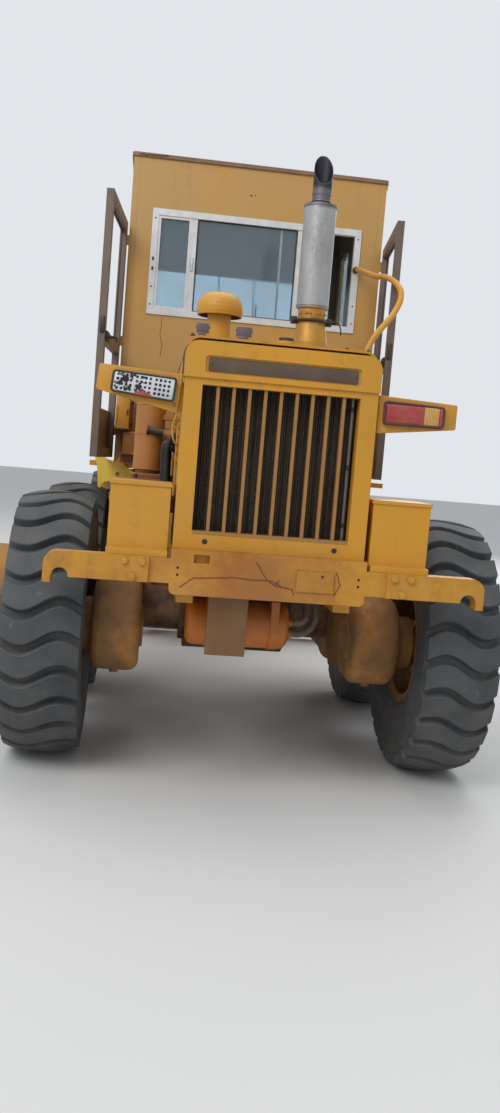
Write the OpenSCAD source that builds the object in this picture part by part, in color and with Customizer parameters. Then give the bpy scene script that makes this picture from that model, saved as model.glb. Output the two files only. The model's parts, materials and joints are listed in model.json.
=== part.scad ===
// Motor grader with an articulated frame, at real size.
// X runs to the right, Y to the front, Z up, and the origin is on the ground at the middle.

/* [Machine] */
// Distance from the tandem centre to the front axle
wheelbase = 6000; // [5800:10:6400]
// Distance between the two wheels of one tandem
tandem_pitch = 1535; // [1500:5:1600]
// Distance from the tandem centre back to the rear face of the grille
tail = 1570; // [1540:5:1650]
// Half of the track, to the middle of each tyre
wheel_x = 1025; // [1020:1:1060]

/* [Wheels] */
// Outer radius of a tyre over its lugs
tyre_r = 688; // [670:1:700]
// Width of a tyre
tyre_w = 380; // [360:2:390]
// Lugs round one tyre
lugs = 26; // [22:1:28]
// Depth of the gaps between lugs
lug_depth = 44; // [30:1:50]
// Sideways wave of a lug as a share of its pitch
lug_wave = 0.24; // [0:0.02:0.3]
// Radius of the rim where the tyre sits
rim_r = 305; // [300:1:310]
// Radius of the spindle that carries a wheel
spindle_r = 70; // [55:1:80]

/* [Hood] */
// Width of the hood
hood_w = 890; // [860:5:920]
// Height of the hood's top
hood_top = 2155; // [2130:5:2200]
// Step from the hood's top down to the cap over the grille
cap_step = 30; // [10:2:40]
// Height of the hood's lower edge
hood_low = 1188; // [1188:1:1210]
// Radius of the hood's upper corners
hood_round = 64; // [40:2:90]
// Thickness of the hood's panels
hood_wall = 12; // [8:1:20]
// Half width of the grille opening
grille_x = 362; // [330:2:380]
// Lower edge of the grille opening
grille_low = 1272; // [1260:2:1300]
// Upper edge of the grille opening
grille_top = 1930; // [1900:2:1940]
// Upward bend of the left lamp's bracket, as in the photo
lamp_bend = 5; // [0:0.5:8]
// Bars in the grille
grille_bars = 9; // [7:1:11]
// Length of the muffler
muffler_len = 521; // [450:1:620]

/* [Cab] */
// Width of the cab
cab_w = 1600; // [1560:10:1640]
// Length of the cab
cab_len = 1400; // [1380:5:1420]
// Height of the cab floor
floor_z = 1530; // [1520:2:1540]
// Height of the walls' upper edge
cab_top = 3424; // [3400:2:3460]
// Thickness of the roof sheet's edge
roof_t = 24; // [16:1:50]
// Thickness of the cab walls
cab_wall = 40; // [30:1:50]
// Length of a door
door_len = 835; // [800:5:850]
// Rearward swing of the left door past square, as in the photo
door_left_lean = 4; // [2:0.5:8]
// Inward lean of the right door past straight back, as in the photo
door_right_lean = 7; // [0:0.5:8]

/* [Frames] */
// Distance from the grille to the articulation pin
pivot_len = 3300; // [3290:5:3320]
// Radius of the articulation pin
pivot_r = 50; // [40:1:60]
// Width of the gooseneck beam
beam_w = 300; // [260:5:320]
// Height of the gooseneck beam
beam_h = 350; // [300:5:370]
// Distance between the king pins
king_w = 1560; // [1540:5:1570]
// Reach of the nose ahead of the front axle
nose_len = 400; // [380:5:460]
// Width and height of the bolt pattern in the nose
nose_bolts = [200, 120]; // [100:5:200]

/* [Blade] */
// Length of the blade
blade_len = 3710; // [3050:10:3710]
// Height of the blade
blade_h = 655; // [600:5:660]
// Radius of the blade's hollow
blade_curve = 498; // [450:2:560]
// Outer radius of the circle
circle_r = 740; // [720:5:760]
// Teeth inside the circle
circle_teeth = 72; // [60:1:80]
// Distance from the drawbar's ball to the circle's centre
circle_reach = 2350; // [2320:5:2380]
// Distance from the drawbar's ball to the lift cylinders' balls
lift_reach = 1950; // [1930:5:1970]
// Radius of a lift cylinder
lift_r = 62; // [55:1:66]

/* [Hidden] */
// Facets of round surfaces
$fn = 48;
// Running clearance of pins and spindles
run = 0.06;
// Gap between fixed pieces that do not touch
seat = 0.3;
// Free gap round the open ball joints of the lift rods
free = 6;
// Share of a lug's pitch that its top takes
lug_top = 0.7;
// Reach of the bumper and its bolt heads behind the grille plane
bumper_back = 94;
bolt_head = 14;
wheel_z = tyre_r * cos(180 / lugs * lug_top);
overall = bumper_back + tail + wheelbase + tyre_r;
rear_y = bumper_back - overall / 2;
tandem_y = rear_y + tail;
front_y = tandem_y + wheelbase;
rear_wheels = [tandem_y - tandem_pitch / 2, tandem_y + tandem_pitch / 2];
hub_in = 120;
hub_out = 25;
hub_r = 150;
inner_x = wheel_x - hub_in;
case_w = 255;
case_out = wheel_x - tyre_w / 2 - 20;
case_in = case_out - case_w;
case_r = 240;
rail_in = 330;
rail_out = 410;
rail_low = 930;
rail_top = hood_low;
bumper_low = 980;
bumper_x = 450;
hook_low = 1030;
hook_top = 1145;
hook_x = 1010;
cab_y = rear_y + 1950;
cab_front = cab_y + cab_len;
hood_end = cab_y - 20;
pivot_y = rear_y + pivot_len;
pivot_low = 780;
pivot_top = 1460;
ear = 60;
door_z = [floor_z + 30, cab_top - 414];
door_t = 40;
door_bar = 55;
hinge_x = cab_w / 2 + 25;
hinge_y = cab_y - 5;
hinge_z = [door_z[0] + 200, door_z[0] + 760, door_z[1] - 70];
hinge_h = 60;
hinge_r = 14;
hinge_pin = 7;
nose_y = front_y + nose_len;
nose_z = 1120;
nose_bolt_r = 11;
ball_y = front_y - 420;
ball_z = 965;
ball_r = 60;
circle_y = ball_y - circle_reach;
circle_z = [735, 830];
circle_in = circle_r - 100;
pinion_y = circle_y + circle_in - 62;
lift_x = 520;
lift_y = ball_y - lift_reach;
lift_z = ball_z + 20;
trunnion_y = lift_y + 195;
trunnion_z = lift_z + 830;
lift_lean = atan2(trunnion_y - lift_y, trunnion_z - lift_z);
lift_len = norm([trunnion_y - lift_y, trunnion_z - lift_z]);
trunnion_r = 25;
barrel_z = [-370, 520];
rod_r = 30;
rod_top = 150;
stud_r = 33;
beam_top = 1830;
beam_low = beam_top - beam_h;
king_x = king_w / 2;
king_r = 28;
arm_len = 230;
tie_z = 600;
tip_y = circle_y - 430;
tip_z = 160;
tip_r = 30;
edge_y = circle_y - 80;
edge_z = 30;
arm_x = [545, 585];
carrier_x = [490, 538];
rail_z = [edge_z + 170, edge_z + 490];
rail_half = 20;
jaw = 22;
blade_t = 20;
shift_y = circle_y - 300;
shift_z = 380;
shift_end = 600;
win_x = 663;
win_low = cab_top - 951;
win_top = cab_top - 301;
// Panes of the cab in Z, and their distance from the corners
side_panes = [[floor_z + 130, floor_z + 590], [floor_z + 670, cab_top - 244]];
front_pane = [floor_z + 750, cab_top - 164];
foot_pane = [floor_z + 110, floor_z + 660];
pane_edge = 90;
side_pane_y = [cab_front - 430, cab_front - pane_edge];
sash = 40;
stile = 36;
stile_x = [247 - win_x, win_x - 406];
cap_seam = grille_top + 30;
cap_lap = 5;
muffler_x = hood_w / 2 - 233;
tank_y = rear_y + 325;
tank_z = 808;
tank_r = 115;
tank_x = [-345, 157];
port_x = tank_x[1] + 23;
port_z = [-38, 17];
hose_r = 16;
// Routes of the two air hoses up to the engine, in Z from the tank's axis
hose_routes = [[[port_x, 0, port_z[0]], [215, 0, port_z[0]], [250, 10, -31], [285, 30, -8],
        [305, 60, 32], [305, 95, 77], [290, 125, 117], [270, 148, 140], [266, 152, 156], [266, 152, 172]],
    [[port_x, 0, port_z[1]], [205, 0, port_z[1]], [232, 8, 23], [252, 26, 41], [256, 55, 67],
        [246, 88, 97], [230, 118, 122], [220, 142, 140], [218, 146, 156], [218, 146, 172]]];

// A unit vector along v
function unit(v) = v / norm(v);
// Points of an arc about c with radius r, from angle a to angle b in n steps
function arc(c, r, a, b, n = 8) =
    [for (i = [0:n]) c + r * [cos(a + (b - a) * i / n), sin(a + (b - a) * i / n)]];
// A turn brought between -180 and 180 degrees
function short_turn(a) = a > 180 ? a - 360 : a < -180 ? a + 360 : a;
// One corner p between neighbours a and b, rounded with radius r
function corner(a, p, b, r, n) = r == 0 ? [p] :
    let (u = unit(a - p), w = unit(b - p), half = acos(u * w) / 2,
        c = p + unit(u + w) * r / sin(half),
        s = p + u * r / tan(half) - c, e = p + w * r / tan(half) - c,
        a0 = atan2(s.y, s.x), turn = short_turn(atan2(e.y, e.x) - a0))
    arc(c, r, a0, a0 + turn, n);
// An outline from rows of [x, y, corner radius]
function outline(rows, n = 5) = [for (i = [0:len(rows) - 1])
    let (k = len(rows), a = rows[(i + k - 1) % k], p = rows[i], b = rows[(i + 1) % k])
    each corner([a.x, a.y], [p.x, p.y], [b.x, b.y], p.z, n)];

// A block between two opposite corners
module block(lo, hi) {
    translate(lo) cube(hi - lo);
}
// A block and its mirror image on the other side
module pair(lo, hi) {
    block(lo, hi);
    mirror([1, 0, 0]) block(lo, hi);
}
// A round bar along X, Y or Z
module bar_x(x0, x1, y, z, r) {
    translate([x0, y, z]) rotate([0, 90, 0]) cylinder(r = r, h = x1 - x0);
}
module bar_y(x, y0, y1, z, r) {
    translate([x, y1, z]) rotate([90, 0, 0]) cylinder(r = r, h = y1 - y0);
}
module bar_z(x, y, z0, z1, r) {
    translate([x, y, z0]) cylinder(r = r, h = z1 - z0);
}
// A side outline in Y and Z, as thick as x0 to x1
module side(x0, x1, points) {
    translate([x0, 0, 0]) rotate([90, 0, 90]) linear_extrude(x1 - x0) polygon(points);
}
// An end outline in X and Z, as long as y0 to y1
module across(y0, y1, points) {
    translate([0, y1, 0]) rotate([90, 0, 0]) linear_extrude(y1 - y0) polygon(points);
}
// A tube of ten sides swept along a list of points, none of which runs along guide
module hose(points, r) {
    n = len(points);
    sides = 10;
    guide = [0.7, -0.7, 0.3];
    function ahead(i) = unit(points[min(i + 1, n - 1)] - points[max(i - 1, 0)]);
    function across_to(i) = unit(cross(ahead(i), guide));
    rings = [for (i = [0:n - 1], k = [0:sides - 1]) let (u = across_to(i), w = cross(ahead(i), u))
        points[i] + r * (cos(k * 360 / sides) * u + sin(k * 360 / sides) * w)];
    polyhedron(rings, concat([[for (k = [0:sides - 1]) k]],
        [for (i = [0:n - 2], k = [0:sides - 1]) let (a = i * sides + k, b = i * sides + (k + 1) % sides)
            each [[a, a + sides, b + sides], [a, b + sides, b]]],
        [[for (k = [sides - 1:-1:0]) (n - 1) * sides + k]]));
}
// A round piece about X from x0 to x1 with rounded ends
module drum(x0, x1, y, z, r, round) {
    translate([x0, y, z]) rotate([0, 90, 0]) rotate_extrude()
        polygon(outline([[0, 0, 0], [r, 0, round], [r, x1 - x0, round], [0, x1 - x0, 0]]));
}
// Mirror a left piece to the right side
module on_side(s) {
    mirror([s < 0 ? 0 : 1, 0, 0]) children();
}

// Engine end

module rear_frame() color("goldenrod") {
    yoke_y = pivot_y - 150;
    difference() {
        union() {
            pair([rail_in, rear_y + 60, rail_low], [rail_out, yoke_y, rail_top]);
            for (y = [rear_y + 300, tandem_y - 60, pivot_y - 360])
                block([-rail_in, y, rail_low + 10], [rail_in, y + 50, rail_low + 50]);
            block([-rail_out, yoke_y - 110, pivot_low], [rail_out, yoke_y, pivot_top]);
            for (z = [pivot_low, pivot_top - ear]) {
                block([-130, yoke_y, z], [130, pivot_y, z + ear]);
                bar_z(0, pivot_y, z, z + ear, 130);
            }
        }
        for (x = [-250, 250]) bar_y(x, yoke_y - 120, yoke_y + 10, 1060, 95);
    }
    bar_z(0, pivot_y, pivot_low - 10, pivot_top + 15, pivot_r);
}

// Left half of the hook beam in X and Z, with its throat open downward
module hook_half() {
    nose_r = (hook_top - hook_low) / 2;
    throat = [hook_x - 75, hook_low + 4];
    back = rear_y - bumper_back + bolt_head;
    difference() {
        union() {
            block([bumper_x, rear_y - 60, hook_low], [hook_x - nose_r, rear_y + 10, hook_top]);
            block([545, back, hook_low], [hook_x - nose_r, rear_y - 60, hook_top]);
            bar_y(hook_x - nose_r, back, rear_y + 10, hook_top - nose_r, nose_r);
            block([hook_x - 36, back, hook_low - 28], [hook_x, rear_y + 10, hook_top - nose_r]);
        }
        bar_y(throat.x, back - 10, rear_y + 20, throat.y, 37);
        block([throat.x - 37, back - 10, hook_low - 60], [throat.x + 37, rear_y + 20, throat.y]);
    }
    for (p = [[577, 1124], [655, 1124], [618, 1052]]) bar_y(p.x, back - bolt_head, back, p.y, 17);
}

module rear_bumper() color("goldenrod") {
    difference() {
        across(rear_y - 60, rear_y + 60 - seat, outline([[-bumper_x, hood_low, 0],
            [bumper_x, hood_low, 0], [bumper_x, bumper_low, 28], [-bumper_x, bumper_low, 28]]));
        block([-345, rear_y - 70, 1130], [-275, rear_y - 30, 1168]);
    }
    block([126, rear_y - 68, 1032], [300, rear_y - 60, 1128]);
    hook_half();
    mirror([1, 0, 0]) hook_half();
    block([-260, rear_y + 20, 700], [-75, rear_y + 50, bumper_low + 5]);
}

module air_tank() color("goldenrod") {
    strap = 4;
    drum(tank_x[0], tank_x[1], tank_y, tank_z, tank_r, 42);
    for (x = [-250, 60]) {
        block([x, tank_y - tank_r - strap, tank_z - 20],
            [x + 40, tank_y + tank_r + strap, rail_low + 10]);
        bar_x(x, x + 40, tank_y, tank_z, tank_r + strap);
    }
    for (z = port_z) bar_x(tank_x[1] - 5, port_x, tank_y, tank_z + z, hose_r + 5);
}

module air_hoses() color("darkgray") {
    for (route = hose_routes) hose([for (p = route) [p.x, tank_y + p.y, tank_z + p.z]], hose_r);
}

module engine_block() color("dimgray") {
    for (route = hose_routes) let (p = route[len(route) - 1])
        bar_z(p.x, tank_y + p.y, tank_z + p.z, 990, hose_r + 5);
    block([-300, rear_y + 440, 985], [300, rear_y + 1500, 1700]);
    block([-190, rear_y + 560, 1700], [190, rear_y + 1420, 1900]);
    for (y = [620, 1320]) block([-rail_in, rear_y + y, 1040], [rail_in, rear_y + y + 70, 1100]);
}

module transmission() color("gray") {
    block([-250, tandem_y + 340, 760], [250, pivot_y - 420, 1190]);
    bar_y(0, tandem_y + 230, tandem_y + 340, 900, 120);
    block([-rail_in, tandem_y + 600, 1000], [rail_in, tandem_y + 680, 1060]);
}

module radiator() color([0.16, 0.15, 0.14]) {
    core_y = rear_y + 95;
    difference() {
        block([-grille_x - 12, core_y, grille_low - 20], [grille_x + 12, core_y + 110, grille_top + 15]);
        for (i = [0:23]) {
            x = -grille_x + 12 + i * (2 * grille_x - 36) / 23;
            block([x, core_y - 1, grille_low], [x + 12, core_y + 7, grille_top]);
        }
    }
    pair([rail_in + 10, core_y + 10, rail_top], [rail_in + 50, core_y + 90, grille_low - 20]);
}

// The hood's end outline, drawn in by d
function hood_outline(d, low) = outline([[-hood_w / 2 + d, low, 0],
    [-hood_w / 2 + d, hood_top - d, hood_round - d], [hood_w / 2 - d, hood_top - d, hood_round - d],
    [hood_w / 2 - d, low, 0]], 6);

module grille() color("goldenrod") {
    depth = 70;
    bar = 15;
    name_x = hood_w / 2 - 90;
    cap = hood_top - cap_step;
    difference() {
        union() {
            across(rear_y, rear_y + depth, outline([[-hood_w / 2, hood_low, 0],
                [-hood_w / 2, cap - 60, 0], [hood_w / 2, cap - 60, 0], [hood_w / 2, hood_low, 0]]));
            across(rear_y - 10, rear_y + depth, outline([[-hood_w / 2 - cap_lap, cap_seam, 0],
                [-hood_w / 2 - cap_lap, cap, hood_round], [hood_w / 2 + cap_lap, cap, hood_round],
                [hood_w / 2 + cap_lap, cap_seam, 0]], 6));
        }
        block([-grille_x, rear_y - 11, grille_low], [grille_x, rear_y + depth + 1, grille_top]);
        across(rear_y - 11, rear_y - 1, outline([[-name_x, cap_seam + 24, 14], [-name_x, cap - 64, 14],
            [name_x, cap - 64, 14], [name_x, cap_seam + 24, 14]], 4));
        for (x = [-300, 300]) bar_y(x, rear_y - 1, rear_y + 25, 1225, 11);
        block([-hood_w / 2 + 30, rear_y + 20, hood_low - 1],
            [hood_w / 2 - 30, rear_y + depth + 1, grille_low - 20]);
    }
    for (i = [1:grille_bars]) {
        x = -grille_x + i * 2 * grille_x / (grille_bars + 1);
        block([x - bar / 2, rear_y + 10, grille_low], [x + bar / 2, rear_y + 40, grille_top]);
    }
}

module hood() color("goldenrod") {
    y0 = rear_y + 70;
    difference() {
        across(y0, hood_end, hood_outline(0, hood_low));
        across(y0 - 1, hood_end + 1, hood_outline(hood_wall, hood_low - 1));
        for (s = [-1, 1], i = [0:7], y = [y0 + 260, y0 + 1000])
            block([min(s * (hood_w / 2 - 30), s * (hood_w / 2 + 1)), y, 1560 + i * 42],
                [max(s * (hood_w / 2 - 30), s * (hood_w / 2 + 1)), y + 320, 1574 + i * 42]);
    }
    for (x = [[44, 97], [229, 295]]) block([x[0] - hood_w / 2, rear_y + 135, hood_top - 5],
        [x[1] - hood_w / 2, rear_y + 170, hood_top + 62]);
}

module exhaust_stack() color("silver") {
    z0 = hood_top;
    z1 = z0 + 267;
    z2 = z1 + muffler_len;
    tip = 50;
    translate([muffler_x, rear_y + 750, 0]) {
        rotate_extrude() polygon([[0, z0], [91, z0], [91, z0 + 90], [75, z0 + 192], [80, z0 + 194],
            [80, z0 + 210], [72, z0 + 212], [72, z1 - 6], [84, z1], [84, z2 - 6], [88, z2 - 5],
            [88, z2 + 5], [60, z2 + 8], [48, z2 + 16], [48, z2 + 80], [0, z2 + 80]]);
        difference() {
            bar_z(0, 0, z2 + 55, z2 + 272, tip);
            bar_z(0, 0, z2 + 70, z2 + 280, tip - 4);
            translate([0, -tip, z2 + 100]) rotate([60, 0, 0]) block([-90, -30, 0], [90, 300, 200]);
        }
        for (x = [-1, 1]) block([x * 90 - 13, -10, z0 + 192], [x * 90 + 13, 10, z0 + 212]);
    }
}

module precleaner() color("goldenrod") {
    z0 = hood_top;
    translate([165 - hood_w / 2, rear_y + 550, 0]) rotate_extrude() polygon(concat([[0, z0], [80, z0],
        [80, z0 + 12], [59, z0 + 20], [59, z0 + 178], [98, z0 + 178], [104, z0 + 156],
        [110, z0 + 156]], arc([36, z0 + 190], 80, -10, 90, 7), [[0, z0 + 270]]));
}

module air_cleaner() color("goldenrod") {
    c = [-584, rear_y + 740];
    translate([c.x, c.y, 0]) rotate_extrude() polygon([[0, 1500], [56, 1500], [76, 1524], [76, 1850],
        [56, 1884], [28, 1894], [0, 1896]]);
    for (z = [1580, 1780]) block([c.x + 60, c.y - 40, z], [-hood_w / 2, c.y + 40, z + 26]);
    bar_x(c.x, -hood_w / 2, c.y, 1700, 42);
}

// Right lamp on its bracket, turned up about its inner end by bend and raised by lift
module lamp_half(bend, lift) {
    x0 = hood_w / 2;
    pivot = [x0 + cap_lap + 1, 0, 1956];
    block([x0, rear_y + 40, 1800], [x0 + 60, rear_y + 66, 1935]);
    translate(pivot + [0, 0, lift]) rotate([0, -bend, 0]) translate(-pivot) {
        across(rear_y + 22, rear_y + 44, outline([[pivot.x, 1780, 0], [pivot.x, pivot.z, 0],
            [x0 + 381, 1941, 26], [x0 + 381, 1826, 26]], 4));
        across(rear_y - 10, rear_y + 24, outline([[x0 + 31, 1826, 16], [x0 + 31, 1933, 16],
            [x0 + 315, 1923, 16], [x0 + 315, 1827, 16]], 4));
    }
}

module tail_lamps() color("firebrick") {
    lamp_half(0, 0);
    mirror([1, 0, 0]) lamp_half(lamp_bend, 12);
}

module side_boxes() color("goldenrod") {
    x0 = hood_w / 2 + 23;
    x1 = x0 + 272;
    pair([x0, rear_y, 1173], [x1, rear_y + 330, 1458]);
    pair([x0 - 5, rear_y - 5, 1458], [x1 + 5, rear_y + 335, 1475]);
    pair([x0 - 2, rear_y - 50, hook_top], [x1 + 2, rear_y + 300, 1173]);
}

module tanks() color("goldenrod") {
    top = floor_z - 50;
    for (s = [0, 1]) mirror([s, 0, 0]) {
        across(cab_y + 60, cab_y + 1000, outline([[rail_out, rail_low + 70, 0], [rail_out, top, 0],
            [cab_w / 2 - 10, top, 40], [cab_w / 2 - 10, rail_low + 70, 60]], 4));
        bar_z(600, cab_y + 180, top, floor_z - 30, 45);
    }
}

module rear_axle() color("darkgoldenrod") {
    bar_x(-case_in, case_in, tandem_y, wheel_z, 125);
    bar_x(-300, 300, tandem_y, wheel_z, 235);
    bar_x(-330, 330, tandem_y, wheel_z, 190);
    pair([rail_in, tandem_y - 110, wheel_z + 60], [rail_out, tandem_y + 110, rail_low]);
    bar_y(0, tandem_y, tandem_y + 230, 900, 90);
}

module case_half() {
    inset = 5;
    for (y = rear_wheels) {
        drum(case_in, case_out, y, wheel_z, case_r, 55);
        bar_x(case_out, inner_x - 5, y, wheel_z, hub_r - 10);
        bar_x(inner_x - 5, wheel_x + hub_out - 5, y, wheel_z, spindle_r);
        bar_x(case_in - 14, case_in, y, wheel_z, 110);
    }
    across(rear_wheels[0], rear_wheels[1], outline([
        [case_in + inset, wheel_z - case_r + inset, 50], [case_out - inset, wheel_z - case_r + inset, 50],
        [case_out - inset, wheel_z + case_r - inset, 50], [case_in + inset, wheel_z + case_r - inset, 50]], 5));
    drum(case_in, case_out, tandem_y, wheel_z, case_r + 20, 55);
    bar_z((case_in + case_out) / 2, rear_wheels[0], wheel_z - case_r - 16, wheel_z - case_r + 20, 24);
}

module tandem_cases() color("darkgoldenrod") {
    case_half();
    mirror([1, 0, 0]) case_half();
}

// Cab and platform

module platform() color("goldenrod") {
    block([-cab_w / 2 - 150, cab_y, floor_z - 30], [cab_w / 2 + 150, cab_front, floor_z]);
    for (y = [5, 500, 1010])
        pair([rail_in + 5, cab_y + y, rail_top], [rail_out - 5, cab_y + y + 60, floor_z - 30]);
}

module steps() color("goldenrod") {
    step_low = edge_z + blade_h + 35;
    x0 = cab_w / 2 + 20;
    x1 = cab_w / 2 + 250;
    y0 = cab_front - 250;
    y1 = cab_front - 4;
    for (s = [0, 1]) mirror([s, 0, 0]) {
        for (y = [y0, y1 - 12])
            block([x0 + 60, y, step_low], [x0 + 130, y + 12, floor_z - 30]);
        for (i = [0:2]) block([x0, y0 + 12, step_low + i * 250], [x1, y1 - 12, step_low + i * 250 + 28]);
    }
}

module handrail() color("goldenrod") {
    foot = hood_top - 85;
    hose([[640, cab_y - 8, 2868], [640, cab_y - 60, 2868], [641, cab_y - 300, 2812],
        [642, rear_y + 1332, 2735], [668, rear_y + 1162, 2702], [690, rear_y + 1090, 2680],
        [714, rear_y + 1037, 2648], [730, rear_y + 992, 2604], [724, rear_y + 957, 2548],
        [698, rear_y + 922, 2492], [662, rear_y + 882, 2438], [582, rear_y + 822, 2338],
        [546, rear_y + 807, 2275], [518, rear_y + 796, 2190], [507, rear_y + 791, foot + 30],
        [500, rear_y + 790, foot + 8], [482, rear_y + 790, foot], [hood_w / 2, rear_y + 790, foot]], 17);
}

// The cab's two side walls with their door openings, panes and hinge pins
module cab_shell() color("goldenrod") {
    x = cab_w / 2;
    t = cab_wall;
    for (s = [0, 1]) mirror([s, 0, 0]) {
        difference() {
            block([x - t, cab_y, floor_z], [x, cab_front, cab_top]);
            block([x - t - 1, cab_y + t + 5, door_z[0] + 25], [x + 1, cab_y + door_len - 60, door_z[1] - 25]);
            for (z = side_panes)
                block([x - t - 1, side_pane_y[0], z[0]], [x + 1, side_pane_y[1], z[1]]);
        }
        for (z = hinge_z) {
            bar_z(hinge_x, hinge_y, z - hinge_h - seat, z - seat, hinge_r);
            bar_z(hinge_x, hinge_y, z - 5, z + hinge_h - 5, hinge_pin);
            block([x - 5, hinge_y - 4, z - hinge_h - seat], [hinge_x - 6, hinge_y + 7, z - seat]);
        }
    }
}

// The rear wall round the window, and the front wall round its panes
module cab_end_walls() color("goldenrod") {
    x = cab_w / 2;
    t = cab_wall;
    difference() {
        block([t - x, cab_y, floor_z], [x - t, cab_y + t, cab_top]);
        block([-win_x, cab_y - 1, win_low], [win_x, cab_y + t + 1, win_top]);
    }
    difference() {
        block([t - x, cab_front - t, floor_z], [x - t, cab_front, cab_top]);
        block([pane_edge - x, cab_front - t - 1, front_pane[0]],
            [x - pane_edge, cab_front + 1, front_pane[1]]);
        pair([pane_edge, cab_front - t - 1, foot_pane[0]], [x - pane_edge, cab_front + 1, foot_pane[1]]);
    }
}

module cab_roof() color("goldenrod") {
    lap = 12;
    translate([0, 0, cab_top]) linear_extrude(roof_t) polygon(outline([
        [-cab_w / 2 - lap, cab_y - lap, 30], [cab_w / 2 + lap, cab_y - lap, 30],
        [cab_w / 2 + lap, cab_front + lap, 30], [-cab_w / 2 - lap, cab_front + lap, 30]], 4));
}

// A pane across the cab or along its side, with its seat gap
module pane_y(x0, x1, y, z0, z1) {
    block([x0 + seat, y, z0 + seat], [x1 - seat, y + 6, z1 - seat]);
}

module cab_glass() color([0.6, 0.75, 0.8, 0.5]) {
    x = cab_w / 2;
    mid = cab_front - cab_wall / 2;
    pane_y(pane_edge - x, x - pane_edge, mid, front_pane[0], front_pane[1]);
    for (s = [0, 1]) mirror([s, 0, 0]) {
        pane_y(pane_edge, x - pane_edge, mid, foot_pane[0], foot_pane[1]);
        for (z = side_panes) block([x - cab_wall / 2, side_pane_y[0] + seat, z[0] + seat],
            [x - cab_wall / 2 + 6, side_pane_y[1] - seat, z[1] - seat]);
    }
    pane_y(sash - win_x, stile_x[0], cab_y + 12, win_low + sash, win_top - sash);
    pane_y(stile_x[0] + stile, stile_x[1], cab_y + 12, win_low + sash, win_top - sash);
}

module rear_window() color("whitesmoke") {
    for (x = [-win_x + seat, win_x - sash])
        block([x, cab_y - 8, win_low + seat], [x + sash - seat, cab_y + 34, win_top - seat]);
    for (z = [win_low + seat, win_top - sash])
        block([-win_x + sash, cab_y - 8, z], [win_x - sash, cab_y + 34, z + sash - seat]);
    for (x = stile_x)
        block([x, cab_y, win_low + sash - seat], [x + stile, cab_y + 30, win_top - sash]);
    difference() {
        block([sash - win_x - 1, cab_y - 2, win_low + sash - 1],
            [stile_x[0] + 1, cab_y + 10, win_top - sash + 1]);
        block([sash - win_x + 16, cab_y - 3, win_low + sash + 16],
            [stile_x[0] - 16, cab_y + 11, win_top - sash - 16]);
    }
}

module seat_base() color([0.2, 0.2, 0.2]) {
    bar_z(0, cab_y + 520, floor_z, floor_z + 60, 170);
    bar_z(0, cab_y + 520, floor_z + 60, floor_z + 320, 90);
    block([-230, cab_y + 300, floor_z + 320], [230, cab_y + 760, floor_z + 350]);
    block([-40, cab_y + 270, floor_z + 320], [40, cab_y + 300, floor_z + 900]);
}

module seat_cushions() color([0.13, 0.13, 0.14]) {
    z = floor_z + 350 + seat;
    block([-240, cab_y + 320, z], [240, cab_y + 780, z + 120]);
    side(-230, 230, outline([[cab_y + 300 + seat, z + 130, 30], [cab_y + 420, z + 130, 40],
        [cab_y + 400, z + 640, 50], [cab_y + 300 + seat, z + 640, 30]], 3));
}

module controls() color([0.25, 0.24, 0.22]) {
    y = cab_front - 250;
    side(-90, 90, outline([[y - 60, floor_z, 0], [y + 140, floor_z, 0], [y + 60, 2230, 30],
        [y - 110, 2230, 30]], 3));
    for (s = [-1, 1]) {
        block([min(s * 90, s * 330), y - 90, 2120], [max(s * 90, s * 330), y + 20, 2220]);
        for (i = [0:3]) {
            bar_z(s * (130 + i * 55), y - 35, 2200, 2380, 7);
            translate([s * (130 + i * 55), y - 35, 2384]) sphere(r = 17);
        }
    }
    translate([0, y - 130, 2300]) rotate([35, 0, 0]) {
        rotate_extrude() translate([195, 0]) circle(r = 13);
        for (a = [90, 210, 330]) rotate([0, 0, a]) block([0, -12, -6], [192, 12, 6]);
        bar_z(0, 0, -150, 14, 34);
    }
}

// One door as it hangs shut on the right side, moved to its hinge axis
module door_shut() {
    x = cab_w / 2 + 2 - hinge_x;
    y0 = hinge_r + 2;
    y1 = door_len;
    middle = floor_z + 670;
    difference() {
        block([x, y0, door_z[0]], [x + door_t, y1, door_z[1]]);
        block([x - 1, y0 + door_bar, middle + 60], [x + door_t + 1, y1 - door_bar, door_z[1] - door_bar]);
        block([x + 12, y0 + door_bar, door_z[0] + door_bar], [x + door_t + 1, y1 - door_bar, middle]);
        block([x - 1, y0 + door_bar, middle - 360], [x + 13, y1 - door_bar, middle]);
    }
    for (z = hinge_z) difference() {
        union() {
            bar_z(0, 0, z, z + hinge_h, hinge_r);
            block([-3, 0, z], [3, y0 + 1, z + hinge_h]);
        }
        bar_z(0, 0, z - 1, z + hinge_h + 1, hinge_pin + run);
    }
}

// Right side door, swung back by 180 degrees and its lean
module door_right() color([0.36, 0.31, 0.26]) {
    translate([hinge_x, hinge_y, 0]) rotate([0, 0, -180 - door_right_lean]) door_shut();
}

module door_left() color([0.36, 0.31, 0.26]) {
    translate([-hinge_x, hinge_y, 0]) rotate([0, 0, 180 - door_left_lean]) mirror([1, 0, 0]) door_shut();
}

// Front frame

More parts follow.
